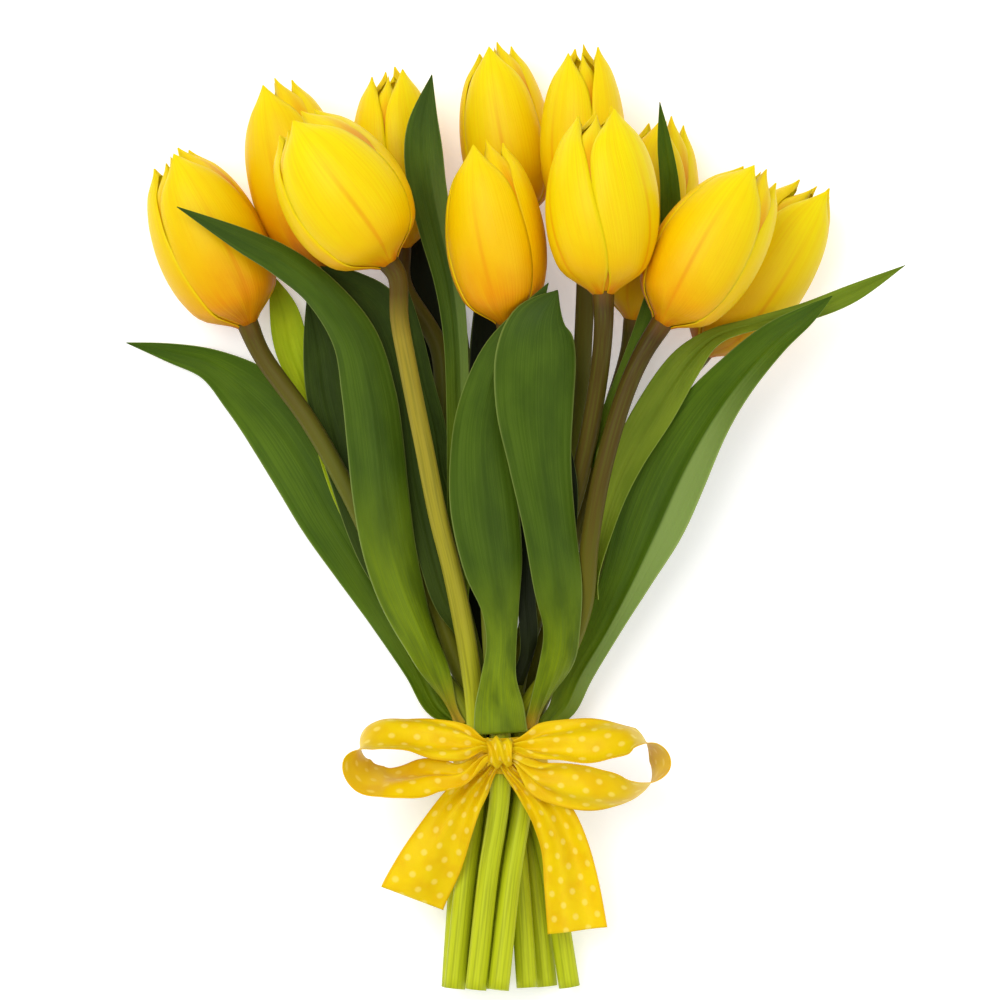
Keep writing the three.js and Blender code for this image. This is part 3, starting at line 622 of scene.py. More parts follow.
# %% [markdown]
# ## The stem's finish
# Below the tie the stems are pale yellow-green. Near the bloom, where the blooms and leaves shade
# them, painted shade turns them olive and dark brown. The v of the UV map runs from the cut end
# to the bloom, so a ramp along it does that: each stem mixes an olive, a brown and a tan one, and
# all three darken with painted shade towards the bloom. Fine lengthwise streaks break up the
# colour, and some stems are a little lighter.

# %% Stem finish
LIME = (190, 200, 30)
BRIGHT = (176, 186, 22)
STREAK = (84, 88, 18)
LIGHTER = (150, 160, 44)
# Painted shade: each ramp darkens towards the bloom, where the stems lie in shade.
OLIVE_SHADE_UP = [(0.4, (96, 108, 30)), (0.7, (96, 102, 30)), (0.86, (84, 70, 22)), (1.0, (78, 50, 18))]
BROWN_SHADE_UP = [(0.4, (104, 104, 20)), (0.68, (76, 58, 16)), (0.94, (60, 36, 12)), (1.0, (96, 58, 18))]
TAN_SHADE_UP = [(0.42, (158, 150, 38)), (0.78, (150, 130, 40)), (0.87, (84, 60, 16)), (1.0, (60, 36, 12))]


def stem_ramp(tree, along, stops):
    """Yellow-green as far as the tie, and above it the stops' colours, darkened with painted shade.
    """
    return ramp(tree, along, [(0.0, LIME), (0.24, BRIGHT), *stops])


def stem_finish():
    finish, tree, skin = soft_finish("stem", 0.46, 0.08, 2 * MM, (0.6, 1.0, 0.1))
    _, along, uv = skin_uv(tree)
    brown_shade, lightness, tan_shade = tone_parts(tree)
    olive_shaded, browner_shaded, tanned_shaded = (
        stem_ramp(tree, along, stops) for stops in (OLIVE_SHADE_UP, BROWN_SHADE_UP, TAN_SHADE_UP))
    streaks = soft_step(tree, grain(tree, uv, 26, 9), 0.4, 0.7, 0.0, 0.4)
    layers = [
        (brown_shade, browner_shaded), (tan_shade, tanned_shaded), (streaks, STREAK),
        (product(tree, lightness, 0.12), LIGHTER)]
    coat(tree, skin, olive_shaded, layers, grain(tree, uv, 40, 14), 0.2 * MM, 0.4)
    return finish


STEM = stem_finish()

# %% Stems
STEM_SIDES, STEM_STEP = 20, 2.5
STEM_SAMPLES = 200
STEM_RIBS, STEM_RIB_SHARE = 5, 0.02
STEM_SWELL = [1.04, 1.0, 1.0, 1.0, 0.98, 0.95, 0.92, 0.9, 0.9, 0.94, 1.08]
# How much of the brown and of the tan painted shade ramp each stem takes.
BROWN_SHADE_SHARE = {"mid_left": 0.1, "low_centre": 0.3, "far_left": 0.4, "mid_right": 0.3}
TAN_SHADE_SHARE = {"front_left": 1}


def stem_rings(points, random):
    """Rings of points along the route, as one grid."""
    rough = np.array([route_point(points, t) for t in np.linspace(0, 1, STEM_SAMPLES)])
    length = run_along(rough)[-1]
    places = np.linspace(0, 1, int(length / STEM_STEP))
    centres = np.array([route_point(points, t) for t in places])
    along = unit(np.gradient(centres, axis=0))
    side = unit(np.cross(along, UP))
    up = np.cross(side, along)
    swell = smooth_at(STEM_SWELL, places)[:, None]
    around = np.linspace(0, math.tau, STEM_SIDES, endpoint=False)[None, :]
    ribs = 1 + STEM_RIB_SHARE * np.cos(STEM_RIBS * around + random.uniform(0, 6))
    radius = (STEM_RADIUS * swell * ribs)[..., None]
    circle = np.cos(around)[..., None] * side[:, None] + np.sin(around)[..., None] * up[:, None]
    return centres[:, None] + radius * circle, places


def tube_faces(rings, sides):
    """Faces round a tube, with each end closed by quads that share a middle point."""
    index = np.arange(rings * sides).reshape(rings, sides)
    around = np.roll(index, -1, axis=1)
    walls = np.stack([index[:-1], around[:-1], around[1:], index[1:]], axis=-1).reshape(-1, 4)
    ends = []
    for row, way, middle in ((0, -1, rings * sides), (-1, 1, rings * sides + 1)):
        ring = index[row]
        corners = [ring[::2], ring[1::2], np.roll(ring, -2)[::2], np.full(sides // 2, middle)]
        ends.append(np.stack(corners, axis=-1)[:, ::way])
    return np.concatenate([walls, *ends])


for name in FLOWERS:
    rings, places = stem_rings(ROUTES[name], random)
    middles = rings[[0, -1]].mean(axis=1)
    points = np.concatenate([rings.reshape(-1, 3), middles])
    faces = faces_outward(points, tube_faces(len(places), STEM_SIDES))
    uvs = uv_pairs(np.linspace(0, 1, STEM_SIDES)[None, :], places[:, None])
    uvs = np.concatenate([uvs, [(0.5, 0), (0.5, 1)]])
    tone = [BROWN_SHADE_SHARE.get(name, 1), random.uniform(0, 1), TAN_SHADE_SHARE.get(name, 0), 1]
    piece = mesh_piece(f"stalk_{name}", points, faces, uvs, np.tile(tone, (len(points), 1)))
    dress(piece, f"stem_{name}", STEM)
print("stems:", len(ROUTES))

# %% [markdown]
# ## Leaves
# A tulip's leaf clasps its stem at the root, widens, and runs out to a long point, with veins
# along it and margins that wave. Each leaf is a strip through rows of [x, y, z, width, roll,
# cup] and ends at a tip, in millimetres and degrees: roll lifts its right edge, and cup raises
# both edges over the middle. Its root says which stem it grows from, at what y, on the side at
# what angle, and for some leaves how wide and how long the part that clasps the stem is.

# %% The sixteen leaves
LEAVES = {
    "front_centre": dict(root=("outer_right", 13, 42, 8), wave=0.6, tone="mid", painted_warm=1, rows=[
        (19.8, 35, 34, 12, -8, -2), (21.5, 47, 40.5, 13, 0, -2.4), (20.3, 62, 46, 17, 0, -3),
        (17.2, 84, 50, 18.5, 0, -3.2), (14, 105, 55.5, 22, 0, -3.5), (12.3, 124, 61.5, 27, -3, -4),
        (12.6, 142, 67, 28, -4, -4.5), (14, 155, 69.5, 20, 0, -3)], tip=(20, 165.5, 68.5)),
    "front_left": dict(root=("low_centre", 11, 90, 19), wave=0.5, tone="mid", rows=[
        (-0.5, 30, 34.5, 12.6, 0, -1.5), (0.5, 42, 36, 10.5, 0, -1.5), (0, 55, 38.2, 13.5, 0, -2),
        (-2.5, 70, 41, 21, 0, -3), (-5.5, 91, 44.5, 24, 0, -3), (-7, 112, 49, 20, 0, -3),
        (-5, 128, 54.5, 17, 0, -2.5), (0.5, 144, 60, 13, 5, -1.5), (10.5, 158, 64, 7.5, 5, -0.5)],
        tip=(16.8, 168, 66.5)),
    "long_left": dict(root=("far_left", 14, 130, 5.5), wave=0.5, tone="mid", painted_warm=1, rows=[
        (-25, 39, 21.5, 12.5, -25, -2), (-33, 58, 25, 17, -18, -3), (-38.5, 76, 28, 19, -8, -3.5),
        (-41.5, 94, 30, 20, -5, -3.5), (-43.6, 113, 32, 20, -3, -3.5), (-46, 130, 34, 19, 0, -3),
        (-51, 149, 37, 16, 5, -3), (-62.3, 165, 41.5, 12.5, 5, -2.5), (-76, 176, 45, 11, 0, -2),
        (-91, 184, 46.5, 8, 0, -1.5)], tip=(-112.7, 195, 46)),
    "far_left": dict(root=("far_left", 11, 218, 5.5, 3), wave=0.5, tone="fresh", rows=[
        (-22.5, 20, 8, 10.5, -30, 0.8), (-28.8, 33, 5.2, 11, -10, 1.2),
        (-38.5, 52, 2.9, 16, 0, 0.8), (-49, 71, 2.4, 21.5, 0, 0.9), (-59, 88, 2.2, 25, 0, 1),
        (-67.5, 104, 2.2, 27, 0, 1), (-78, 120, 2.2, 26, 0, 1.2), (-90, 132, 2.4, 20, 0, 1.6),
        (-102.5, 141, 3, 11.5, 10, 2), (-117, 145.2, 4.5, 7, 20, 1)], tip=(-132, 148.3, 6),
        tip_roll=20),
    "backlit_left": dict(root=("back_left", 40, 200), tone="backlit", rows=[
        (-39, 66, 6, 8, -5, 0.5), (-54, 93, 5.6, 9, 0, 0.5), (-65, 124, 5.4, 8, 0, 0.5),
        (-73, 145, 6, 12, 0, 1), (-76.5, 160, 6.8, 10, 0, 1)], tip=(-81, 173, 7)),
    "dark_left": dict(root=("far_left", 44, 262), tone="shaded", rows=[
        (-44, 74, 8.8, 13, 0, 0.7), (-54, 103, 8.6, 14, 0, 0.6), (-61, 128, 9.2, 14, 0, 0.8),
        (-64, 148, 10.2, 11, 0, 1)], tip=(-68, 165, 11.5)),
    "under_left": dict(root=("mid_left", 37, 110), wave=0.3, tone="shaded", rows=[
        (-20.5, 62, 18.6, 10, 0, 0.6), (-29.3, 100, 20.6, 12, 0, 1), (-33, 134, 23.5, 18, 0, 1),
        (-41, 157, 26.5, 17, 0, 1), (-51.5, 168, 28.5, 10.5, 0, 0.5)], tip=(-63, 174.7, 29.5)),
    "narrow": dict(root=("mid_left", 76, 38), tone="shaded", rows=[
        (-20, 101, 25, 6, 0, 0.4), (-22.5, 118, 28, 7, 0, 0.4), (-26.6, 134, 30, 7, 0, 0.4),
        (-30.8, 153, 32, 6, 0, 0.4)], tip=(-34.5, 173, 34)),
    "upper_centre": dict(root=("front_left", 46, 272), wave=0.4, tone="mid", fold=0.35, rows=[
        (-14, 76, 27, 9, 0, 1), (-14.6, 102, 31, 8, 0, 1), (-14.8, 128, 33.5, 8, 0, 1),
        (-15.6, 150, 35.5, 8.5, 0, 1), (-18, 169, 36.5, 10, 0, 1.2), (-22.3, 187, 37.5, 12, 0, 1.5),
        (-25.4, 202, 38, 13.5, 0, 1.5), (-26.8, 215, 38.3, 13.5, 0, 1.5),
        (-26.6, 226, 38.5, 10, 0, 1)], tip=(-23.8, 241.5, 38.5)),
    "thin_right": dict(root=("front_right", 104, 325), tone="fresh", rows=[
        (42.5, 132, 40, 7, 0, 0.5), (52, 156, 37.5, 8, 0, 0.5), (59, 180, 36.8, 8, 0, 0.5),
        (59.5, 200, 38, 7, 0, 0.5), (57.5, 217, 40, 5, 0, 0.3)], tip=(55.8, 231.7, 42)),
    "long_right": dict(root=("far_right", 11, 40, 6, 3), wave=0.5, tone="fresh", fold=1, rows=[
        (21.8, 20, 14.5, 10, -15, 1), (27.5, 32, 17.5, 11.5, 8, 1.5), (36.3, 47, 20.5, 13.5, 20, 2),
        (45, 65, 23.5, 19, 22, 2.6), (53, 84, 25.5, 26, 20, 3), (61.5, 103, 27.5, 27, 20, 3.4),
        (72, 121, 31.5, 22, 20, 3), (83, 135.5, 37, 16.5, 18, 2.4), (95.6, 148.5, 41.5, 12, 15, 2),
        (107, 157, 43, 7, 10, 1)], tip=(116, 164, 42.5)),
    "twisted_right": dict(root=("outer_right", 58, 300), wave=0.3, tone="backlit_pale", rows=[
        (38, 90, 32.5, 9, 5, 1), (44.5, 107, 32, 12, 0, 1.5), (54.3, 124, 32, 14, 0, 1.5),
        (64.8, 140, 33.5, 12, 10, 1), (75, 149.5, 36, 7, 25, 0.5), (88, 154, 38, 5, 20, 0.2),
        (105, 158, 37.5, 6.5, 0, 0.5), (123, 165, 33, 6.5, -10, 0.5)], tip=(142, 175, 28)),
    "small_inner": dict(root=("front_right", 62, 40), wave=0.1, tone="deep_shade", rows=[
        (24.5, 86, 41.5, 5, 0, 0.4), (24.5, 99, 46.5, 5, 0, 0.4)], tip=(24.5, 111, 51)),
    "inner_strip": dict(root=("front_right", 30, 62, 6), wave=0.1, tone="deep_shade", rows=[
        (10.1, 47, 32.5, 6.5, 0, 0.4), (9.3, 58, 33, 6.5, 0, 0.4), (9.3, 72, 33.5, 7, 0, 0.4),
        (9.6, 86, 36, 6.5, 0, 0.3)], tip=(9, 97, 39)),
    "back_left": dict(root=("tallest", 26, 200, 5.5), tone="deep_shade", rows=[
        (-7.2, 43, 4.2, 7, 0, 0.5), (-9.4, 54, 3, 9, 0, 0.6), (-10.5, 66, 2.8, 12, 0, 0.6),
        (-16, 88, 2.7, 16, 0, 0.8), (-20, 114, 2.7, 22, 0, 0.9), (-22, 138, 2.8, 24, 0, 0.9),
        (-24, 158, 3.2, 22, 0, 0.9), (-27, 175, 3.9, 14, 0, 0.8)], tip=(-30, 187, 5)),
    "back_centre": dict(root=("tallest", 37, 270, 4.6), tone="deep_shade", rows=[
        (-1.2, 52, 2.4, 7, 0, 0.4), (3.3, 63, 2.4, 11, 0, 0.5), (5.5, 74, 2.6, 15.5, 0, 0.6),
        (4, 88, 3.3, 18, 0, 0.8), (1.5, 104, 4.3, 20, 0, 0.8), (0, 122, 4.7, 22, 0, 0.9),
        (1, 142, 5, 24, 0, 0.9), (1, 162, 5.3, 20, 0, 0.9), (0, 178, 5.4, 11, 0, 0.5)],
        tip=(-1, 188, 5.6)),
}

# %% The leaf's blade
TIP_WIDTH = 0.3
ROOT_WIDTH, ROOT_TAPER = 6.5, 0.01
ROOT_HUG, HUG_POWER = 1.2, 1.2
ROOT_GAP = 1.35
ROOT_RUN = 9
LEAF_THICK, LEAF_THINNING = 0.75, 0.55
LEAF_STEP, LEAF_COLUMNS = 2.4, 25
LEAF_RIBS, RIB_HEIGHT = 9, 0.09
MIDRIB_WIDE, MIDRIB_DEPTH = 0.1, 0.4
LEAF_WAVE, LEAF_WAVES, LEAF_SLANT = 0.2, 3, 1.3
NEARLY_FLAT = 0.01


def root_rows(stem, y, side, width=ROOT_WIDTH, length=ROOT_RUN):
    """Two rows at the root, which clasps its stem."""
    angle = math.radians(side)
    above = math.sin(angle) >= 0
    roll = side - 90 if above else side - 270
    hug = (-1 if above else 1) * ROOT_HUG * (width / ROOT_WIDTH) ** HUG_POWER
    rows = []
    for run in (0, length):
        centre = route_at_y(stem, y + run)
        along = unit(route_at_y(stem, y + run + 1) - centre)
        across = unit(np.cross(along, UP))
        outward = math.cos(angle) * across + math.sin(angle) * np.cross(across, along)
        centre = centre + (STEM_RADIUS + ROOT_GAP) * outward
        rows.append((*centre, width * (1 - ROOT_TAPER * run), roll, hug))
    return rows


def strip_frame(rows, t):
    """Centre, direction along and the other values of the rows at each t."""
    step = 0.01
    here = smooth_at(rows, t)
    along = unit(smooth_at(rows, t + step)[:, :3] - smooth_at(rows, t - step)[:, :3])
    return here[:, :3], along, here[:, 3:]


def leaf_grids(leaf):
    """Front and back points of the blade, and the places along it."""
    tip = (*leaf["tip"], TIP_WIDTH, leaf.get("tip_roll", 0), 0)
    rows = np.array([*root_rows(*leaf["root"]), *leaf["rows"], tip], dtype=float)
    t = np.linspace(0, 1, int(run_along(rows[:, :3])[-1] / LEAF_STEP))
    s = np.linspace(-1, 1, LEAF_COLUMNS)[None, :]
    centre, along, values = strip_frame(rows, t)
    width, roll, cup = values.T
    across = turned(unit(np.cross(along, UP)), along, -np.radians(roll))
    t, cup = t[:, None], cup[:, None]
    body = np.sin(math.pi * t) ** 0.5
    wave = leaf.get("wave", LEAF_WAVE) * np.sin(t * LEAF_WAVES * math.tau + s * LEAF_SLANT)
    height = cup * s**2 + wave * s**2 * np.sin(math.pi * t)
    height = height + RIB_HEIGHT * np.cos(LEAF_RIBS * math.pi * s) * (1 - s**4) * body
    midrib = np.sign(cup + NEARLY_FLAT) * MIDRIB_DEPTH * np.exp(-((s / MIDRIB_WIDE) ** 2))
    half_thick = LEAF_THICK / 2 * (1 - LEAF_THINNING * s**2)
    flat = centre[:, None] + (s * width[:, None] / 2)[..., None] * across[:, None]
    front, back = two_sides(flat, height - midrib * body, half_thick, np.cross(across, along))
    return front, back, t


# %% [markdown]
# ## The leaf's finish
# Leaves in front are mid green, and those that lean out a lighter, yellower green. The others are
# that green with light and shade painted in: those behind get painted shade, almost black-green,
# and two that the light shines through get a painted yellow-green backlight. So one function makes
# all six finishes from the colours of the root, the body, the tip and the veins, and how much
# light gets through. Two leaves get a painted golden glow near the tie, light thrown on them by
# the ribbon. Noise stretched along the leaf gives the parallel veins, and a thin pale margin runs
# round the blade.

# %% Leaf finishes
PALE_MARGIN = (150, 166, 84)
PALE_FOLD = (128, 150, 76)
# A painted glow near the tie: golden light thrown on the leaf roots by the ribbon.
TIE_GLOW = (196, 150, 30)
# The last four kinds are painted light and shade: two of painted shade for the leaves behind, and
# two of painted backlight.
LEAF_TONES = {
    "mid": ((122, 142, 10), (64, 88, 10), (44, 66, 6), (82, 106, 26), 0.05),
    "fresh": ((96, 118, 6), (70, 96, 4), (50, 76, 4), (92, 120, 16), 0.06),
    "backlit_pale": ((122, 140, 22), (118, 138, 24), (92, 114, 12), (130, 146, 50), 0.08),
    "shaded": ((56, 70, 10), (48, 66, 7), (36, 52, 4), (66, 86, 16), 0.03),
    "deep_shade": ((24, 30, 5), (22, 29, 4), (16, 22, 3), (30, 38, 7), 0.02),
    "backlit": ((156, 172, 10), (166, 182, 6), (140, 162, 4), (166, 180, 30), 0.12),
}


def leaf_finish(name, low, body, tip, vein, glow):
    finish, tree, skin = soft_finish(name, 0.48, glow, 2 * MM, (0.5, 1.0, 0.1))
    across, along, uv = skin_uv(tree)
    fold, painted_ribbon_glow, _ = tone_parts(tree)
    colour = ramp(tree, along, [(0.0, low), (0.17, low), (0.46, body), (0.8, body), (1.0, tip)])
    # Painted golden glow from the ribbon on the roots of the leaves that carry it.
    near_tie = soft_step(tree, along, 0.03, 0.14, 0.8, 0.0)
    veins = soft_step(tree, grain(tree, uv, 60, 2.5), 0.4, 0.66, 0.0, 0.5)
    cloud = soft_step(tree, grain(tree, uv, 2.5, 6), 0.35, 0.7, 0.0, 0.6)
    right_side = soft_step(tree, across, 0.6, 0.66)
    above_root = soft_step(tree, along, 0.1, 0.28)
    below_tip = soft_step(tree, along, 0.6, 0.85, 1.0, 0.0)
    margin = soft_step(tree, from_middle(tree, across), 0.94, 1.0, 0.0, 0.5)
    layers = [
        (product(tree, near_tie, painted_ribbon_glow), TIE_GLOW), (veins, vein), (cloud, tip),
        (product(tree, right_side, above_root, below_tip, fold), PALE_FOLD),
        (margin, PALE_MARGIN)]
    coat(tree, skin, colour, layers, grain(tree, uv, 80, 3), 0.3 * MM, 0.5)
    return finish


LEAF_FINISHES = {
    kind: leaf_finish(f"leaf_{kind}", *values) for kind, values in LEAF_TONES.items()}
print("leaf finishes:", ", ".join(LEAF_FINISHES))

# %% Leaves
for name, leaf in LEAVES.items():
    front, back, v = leaf_grids(leaf)
    u = np.linspace(0, 1, LEAF_COLUMNS)[None, :]
    tone = (leaf.get("fold", 0), leaf.get("painted_warm", 0), 0)
    blade = sheet_piece(f"blade_{name}", [(front, back, u, v, tone)])
    dress(blade, f"leaf_{name}", LEAF_FINISHES[leaf["tone"]])
print("leaves:", len(LEAVES))

# %% [markdown]
# ## The ribbon
# The bow is one golden ribbon, 24.4 mm wide, with small cream dots and narrow hems. Each stretch
# is a strip through rows of [x, y, z, width, tilt]. Where it is narrower than the ribbon, as near
# the knot, folds side by side take up the rest. They are waves whose height follows from the
# width that they hide, and the number before the rows is their phase. A cloth simulation would
# lose the dots' even scale.

# %% The ribbon's shape
RIBBON_WIDTH = 24.4
RIBBON_THICK = 0.32
RIBBON_COLUMNS, RIBBON_STEP = 41, 0.8
RIBBON_SAMPLES = 300
GATHERED_WIDTH = 6.5
FEW_FOLDS, MOST_FOLDS = 0.9, 3.1
HIGHEST_FOLD = 1.25
BAND_TOP = TIE_FLOOR + 2 * ROW_RISE + ROW_PITCH + STEM_RADIUS + BAND_GAP + BAND_THICK
KNOT_Y = 4.5
KNOT_HIGH = BAND_TOP + 4.3


def fold_height(width, folds):
    """How high folds across the ribbon stand, so that they take up its spare width."""
    spare = np.maximum(0, RIBBON_WIDTH / width - 1)
    return np.minimum(2 * np.sqrt(spare) * width / (folds * math.tau), HIGHEST_FOLD)


def ribbon_grids(rows, phase):
    """Front and back points of a stretch of ribbon, its run in mm, and its length."""
    rows = np.array(rows, dtype=float)
    even = np.linspace(0, 1, RIBBON_SAMPLES)
    run = run_along(smooth_at(rows, even)[:, :3])
    length = run[-1]
    t = np.interp(np.linspace(0, length, int(length / RIBBON_STEP)), run, even)
    centre, along, values = strip_frame(rows, t)
    width = values[:, 0][:, None]
    side = unit(np.cross(along, UP))
    tilt = np.radians(values[:, 1])[:, None]
    across = np.cos(tilt) * np.cross(side, along) + np.sin(tilt) * side
    s = np.linspace(-1, 1, RIBBON_COLUMNS)[None, :]
    closeness = np.clip((RIBBON_WIDTH - width) / (RIBBON_WIDTH - GATHERED_WIDTH), 0, 1)
    folds = FEW_FOLDS + (MOST_FOLDS - FEW_FOLDS) * closeness
    lift = fold_height(width, folds) * np.sin(math.pi * folds * s + phase)
    flat = centre[:, None] + (s * width / 2)[..., None] * across[:, None]
    front, back = two_sides(flat, lift, RIBBON_THICK / 2, np.cross(across, along))
    return front, back, np.linspace(0, length, len(t))[:, None], length


# %% [markdown]
# ## The ribbon's finish
# The dots are a staggered grid. The UV map of the ribbon is in metres, so the distance from the
# nearest dot's middle comes from a few Math nodes, with no image. Fine ribs across the ribbon
# give the woven look, and a deeper line marks each hem.

# %% Ribbon finish
DOT_PITCH = 9.0 * MM
DOT_RADIUS = 1.3 * MM
HEM = 1.1 * MM
WEAVE = 0.45 * MM
GOLD = (232, 194, 2)
DEEP_GOLD = (218, 164, 0)
CREAM = (244, 216, 104)


def line_distance(tree, value, pitch, shift=0.0):
    """The distance to the nearest of evenly spaced lines."""
    return maths(tree, "PINGPONG", maths(tree, "ADD", value, shift), pitch / 2)


def dot_distance(tree, across, along, shift):
    """The distance to the nearest dot of one square grid."""
    x = line_distance(tree, across, DOT_PITCH, shift)
    y = line_distance(tree, along, DOT_PITCH, shift)
    return maths(tree, "SQRT", maths(tree, "ADD", product(tree, x, x), product(tree, y, y)))


def ribbon_finish():
    finish, tree, skin = soft_finish(
        "ribbon", 0.45, 0.25, 3 * MM, (1.0, 0.6, 0.1), Sheen_Weight=0.03, Sheen_Roughness=0.4)
    across, along, uv = skin_uv(tree)
    near = maths(tree, "MINIMUM", dot_distance(tree, across, along, 0.0),
                 dot_distance(tree, across, along, DOT_PITCH / 2))
    dots = soft_step(tree, near, DOT_RADIUS * 0.5, DOT_RADIUS * 1.2, 0.6, 0.0)
    cloud = soft_step(tree, grain(tree, uv, 90, 90, 2.0), 0.35, 0.7, 0.0, 0.6)
    inside = maths(tree, "SUBTRACT", RIBBON_WIDTH * MM / 2, maths(tree, "ABSOLUTE", across))
    hem = soft_step(tree, inside, HEM * 0.7, HEM, 0.55, 0.0)
    raised = maths(tree, "DIVIDE", line_distance(tree, along, WEAVE), WEAVE / 2)
    for part in (dots, hem):
        raised = maths(tree, "MULTIPLY_ADD", part, 1.5, raised)
    layers = [(cloud, DEEP_GOLD), (dots, CREAM), (hem, DEEP_GOLD)]
    coat(tree, skin, GOLD, layers, raised, 0.06 * MM, 0.6)
    return finish


RIBBON = ribbon_finish()

# %% Bow loops and tails
NO_TONE = (0, 0, 0)
FULL = RIBBON_WIDTH
STRETCHES = {
    "loop_left": (0.4, [
        (-2.6, 5.9, KNOT_HIGH, 5.5, -40), (-5.9, 6.8, KNOT_HIGH, 6, -40),
        (-13, 8.2, 37.8, 14, -60), (-22, 9.2, 39, 17.5, -57), (-32, 10.5, 40, 20.5, -37),
        (-41, 10.4, 40.5, 23, -26), (-47.5, 7.6, 40.5, FULL, -10), (-50.4, 2, 40.5, FULL, 20),
        (-47.5, -3.8, 40.5, FULL, 26), (-41, -5.6, 40.5, FULL, 24), (-32.5, -5.2, 40.5, 22, 27),
        (-23.5, -3.9, 40, 17, 40), (-14, -3.2, 39.2, 12, 48),
        (-5.9, 2.4, KNOT_HIGH + 0.4, 5.5, 30), (-2.6, 3.4, KNOT_HIGH + 0.4, 5, 30)]),
    "loop_right": (2.2, [
        (2.6, 5.9, KNOT_HIGH, 5.5, 40), (5.9, 6.8, KNOT_HIGH, 6, 40), (13, 7.9, 38.4, 13.5, 56),
        (21.7, 8.5, 40.2, 17, 57), (30.3, 8.8, 41.4, 20, 54), (39, 9.7, 41.8, 22, 36),
        (47, 9.6, 41.5, FULL, 15), (53.6, 6.3, 41.5, FULL, -10), (56, 0.3, 41.5, FULL, -16),
        (52.6, -6, 41.5, FULL, 2), (45, -9.2, 41.5, 24, 20), (37, -9, 41, 21.5, 42),
        (29, -8, 39.8, 20, 57), (20.5, -6.3, 38.8, 18, 61), (13, -4, 37.8, 13, 58),
        (5.9, 1.9, KNOT_HIGH + 0.4, 5.5, 30), (2.6, 3, KNOT_HIGH + 0.4, 5, 30)]),
    "tail_left": (1.0, [
        (-1.6, 1.6, 33.4, 5, 90), (-4.2, -2, 32.9, 6, 90), (-8.5, -7, 33, 11, 90),
        (-13.5, -13.5, 32.8, 14.5, 90), (-18.5, -22.5, 31.5, 18, 86), (-24, -34, 28.5, 22, 80),
        (-30.8, -47.2, 23.5, FULL, 72)]),
    "tail_right": (0.2, [
        (1.6, 1.2, 33.9, 5, 90), (4.2, -2.6, 33.2, 6, 90), (11.5, -9.5, 31.5, 11, 92),
        (18.3, -18, 29.5, 15, 92), (22.7, -29, 27, 16.8, 92), (25.2, -43, 25.5, 19.5, 92),
        (27.2, -58.5, 25, 21.2, 92)]),
}
for name, (phase, rows) in STRETCHES.items():
    front, back, run, length = ribbon_grids(rows, phase)
    u = np.linspace(-1, 1, RIBBON_COLUMNS)[None, :] * RIBBON_WIDTH / 2
    piece = sheet_piece(f"bow_{name}", [(front, back, u * MM, run * MM, NO_TONE)])
    dress(piece, f"ribbon_{name}", RIBBON)
    print(name, "is", round(float(length)), "mm long")

# %% [markdown]
# ## The band and the knot
# The same ribbon goes once round all the stems, gathered to 13 mm, and the knot is a last short
# turn of it over the middle of the bow. Both are closed rings: a route round the ring, and the
# ribbon's width across it, with folds that run along the ribbon.

# %% Rings of gathered ribbon
RING_COLUMNS = 33
SLANT_FROM, FOLD_SWAY, WIDTH_SWAY = 1.3, 0.5, 0.07


def closed_route(points, count):
    """Evenly spaced points round a closed outline of (x, z)."""
    points = np.array([*points, points[0]], dtype=float)
    run = run_along(points)
    places = np.linspace(0, run[-1], count + 1)[:-1]
    return np.stack([np.interp(places, run, points[:, k]) for k in (0, 1)], axis=-1), run[-1]


def ring_faces(rows, columns):
    """Faces of a closed band, whose last row is joined to its first."""
    size = rows * columns
    index = np.arange(size).reshape(rows, columns)
    index = np.concatenate([index, index[:1]])
    front = grid_faces(index)
    edges = []
    for edge, way in ((index[:, 0], 1), (index[:, -1], -1)):
        side = np.stack([edge[:-1], edge[:-1] + size, edge[1:] + size, edge[1:]], axis=-1)
        edges.append(side[:, ::way])
    return np.concatenate([front, front[:, ::-1] + size, *edges])


def ring_piece(name, outline, normal, across, width, length, folds, depth, slant):
    """A gathered band round an outline: folds run round it, depth high, and slant as they go."""
    s = np.linspace(-1, 1, RING_COLUMNS)[None, :]
    around = np.linspace(0, math.tau, len(outline), endpoint=False)[:, None]
    phase = slant * np.sin(around + SLANT_FROM) + FOLD_SWAY * np.sin(3 * around + 1)
    ripple = depth * np.sin(math.pi * folds * s + phase)
    ripple = ripple + depth / 2 * np.sin(2 * around - slant * s)
    ripple = ripple - depth / 2 * s**4
    spread = s * width / 2 * (1 + WIDTH_SWAY * np.sin(2 * around + 1))
    flat = outline[:, None] + spread[..., None] * across
    front, back = two_sides(flat, ripple, RIBBON_THICK / 2, normal)
    u = s * RIBBON_WIDTH * MM / 2
    v = around / math.tau * length * MM
    return sheet_piece(name, [(front, back, u, v, NO_TONE)], ring_faces)


# %% Band round the stems
BAND_ROWS, ARC_POINTS = 180, 9
BAND_WIDE = 13.4


def rounded_outline(corners, radius):
    """An outline at a distance round corners, with an arc at each of them."""
    outline = []
    for k, (x, z) in enumerate(corners):
        (px, pz), (nx, nz) = corners[k - 1], corners[(k + 1) % len(corners)]
        start = math.atan2(-(x - px), z - pz)
        stop = math.atan2(-(nx - x), nz - z)
        turn = (stop - start) % math.tau
        for angle in start + np.linspace(0, turn, ARC_POINTS):
            outline.append((x + radius * math.cos(angle), z + radius * math.sin(angle)))
    return outline


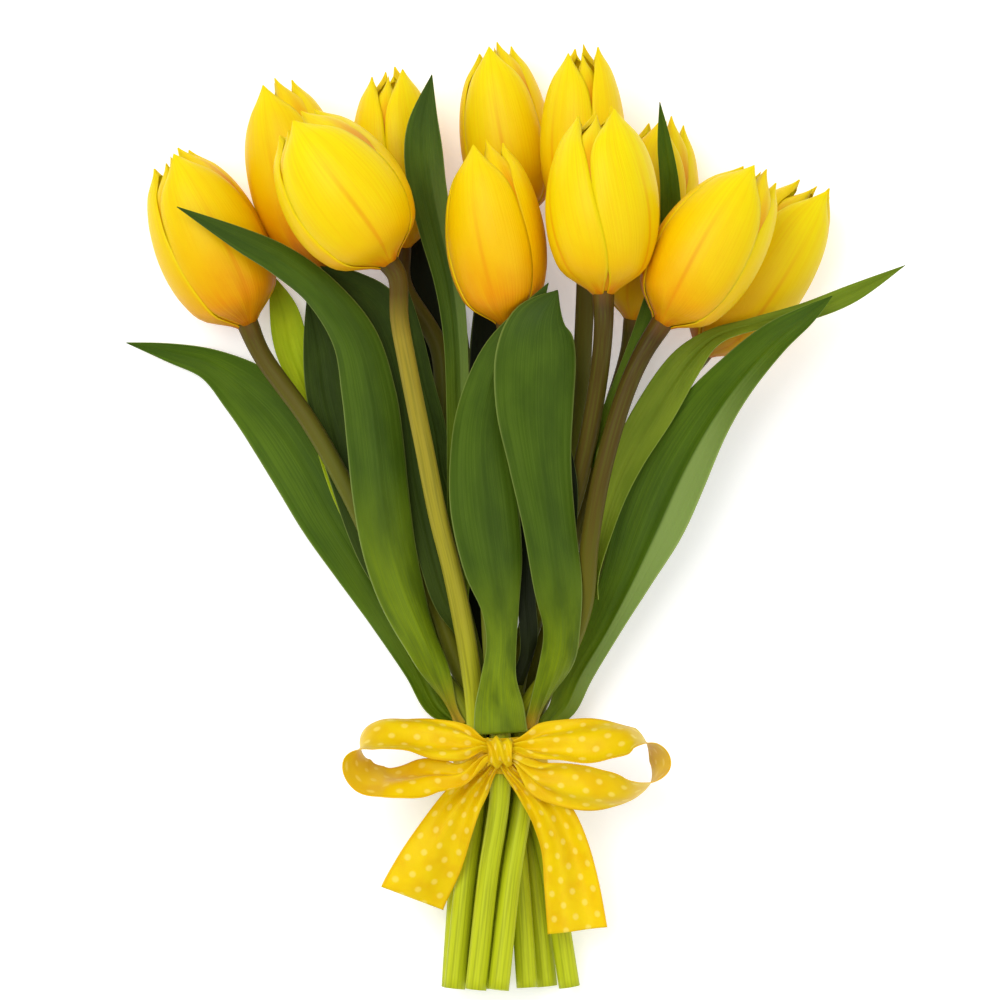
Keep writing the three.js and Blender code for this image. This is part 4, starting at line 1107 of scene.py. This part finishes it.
slots = [flower["slot"] for flower in FLOWERS.values()]
corners = [slots[k] for k in convex_hull_2d(slots)]
first = corners.index(min(corners))
corners = corners[first:] + corners[:first]
middle_radius = STEM_RADIUS + BAND_GAP + BAND_THICK / 2
turn, band_length = closed_route(rounded_outline(corners, middle_radius), BAND_ROWS)
direction = unit(np.roll(turn, -1, axis=0) - np.roll(turn, 1, axis=0))
across = np.array([0, 1.0, 0])
band_line = np.insert(turn, 1, (TIE_FROM + TIE_TO) / 2, axis=1)
band_normal = np.cross(across, np.insert(direction, 1, 0, axis=1))
band = ring_piece(
    "bow_band", band_line, band_normal, across, BAND_WIDE, band_length,
    folds=2.6, depth=0.3, slant=0.9)
dress(band, "ribbon_band", RIBBON)
print("the band is", round(float(band_length)), "mm round")

# %% Knot
KNOT_ROWS = 96
KNOT_WIDE, KNOT_SHOWS = 8.8, 0.6
KNOT_HALVES = np.array([1, 4.6, 3.7])
angles = np.linspace(0, math.tau, KNOT_ROWS, endpoint=False)
circle = np.stack([np.zeros(KNOT_ROWS), np.cos(angles), np.sin(angles)], axis=-1)
knot_line = np.array([0, KNOT_Y, KNOT_HIGH]) + circle * KNOT_HALVES
knot_length = math.tau * math.sqrt((KNOT_HALVES[1:] ** 2).sum() / 2)
across = np.array([1.0, 0, 0])
knot = ring_piece(
    "bow_knot", knot_line, unit(circle / KNOT_HALVES), across, KNOT_WIDE, knot_length,
    folds=2.3, depth=0.75, slant=3.0)
dress(knot, "ribbon_knot", RIBBON)
print("the knot takes", round(float(knot_length)), "mm of ribbon")

# %% [markdown]
# ## The table and the light
# The photograph is bright and soft, on white. A pale floor, a white world and two large lamps
# give that: the world fills the shadows, the key lamp models the petals from the upper left,
# and a weaker lamp on the right keeps that side from going dull. The floor gives off a little
# light of its own, so the bunch's shadow on it stays faint.

# %% Floor and light
FLOOR_SIDE = 6.0
FLOOR_PALE = (0.93, 0.93, 0.93, 1)
FLOOR_GLOW = 0.3
WORLD_LIGHT = 0.65
WHITE = (1, 1, 1, 1)
LAMPS_AIM = (0, 0.1, 0)


def lamp(name, place, side, power):
    """A square lamp, its side in metres and its power in watts."""
    data = bpy.data.lights.new(name, "AREA")
    data.size = side
    data.energy = power
    light = placed(name, data)
    light.location = place
    way = Vector(np.array(LAMPS_AIM) - place)
    light.rotation_euler = way.to_track_quat("-Z", "Y").to_euler()


mesh = bpy.data.meshes.new("floor")
h = FLOOR_SIDE / 2
mesh.from_pydata([(-h, -h, 0), (h, -h, 0), (h, h, 0), (-h, h, 0)], [], [(0, 1, 2, 3)])
finish, _, _ = new_finish(
    "floor", 0.8, Base_Color=FLOOR_PALE, Emission_Color=WHITE, Emission_Strength=FLOOR_GLOW)
mesh.materials.append(finish)
placed("floor", mesh)
lamp("key", (-0.7, 0.7, 2.0), side=1.4, power=28)
lamp("fill", (1.0, -0.3, 1.8), side=1.6, power=8)
world = bpy.data.worlds.new("white")
world.use_nodes = True
sky = world.node_tree.nodes["Background"]
sky.inputs["Color"].default_value = WHITE
sky.inputs["Strength"].default_value = WORLD_LIGHT
bpy.context.scene.world = world
bpy.context.scene.view_settings.view_transform = "Standard"
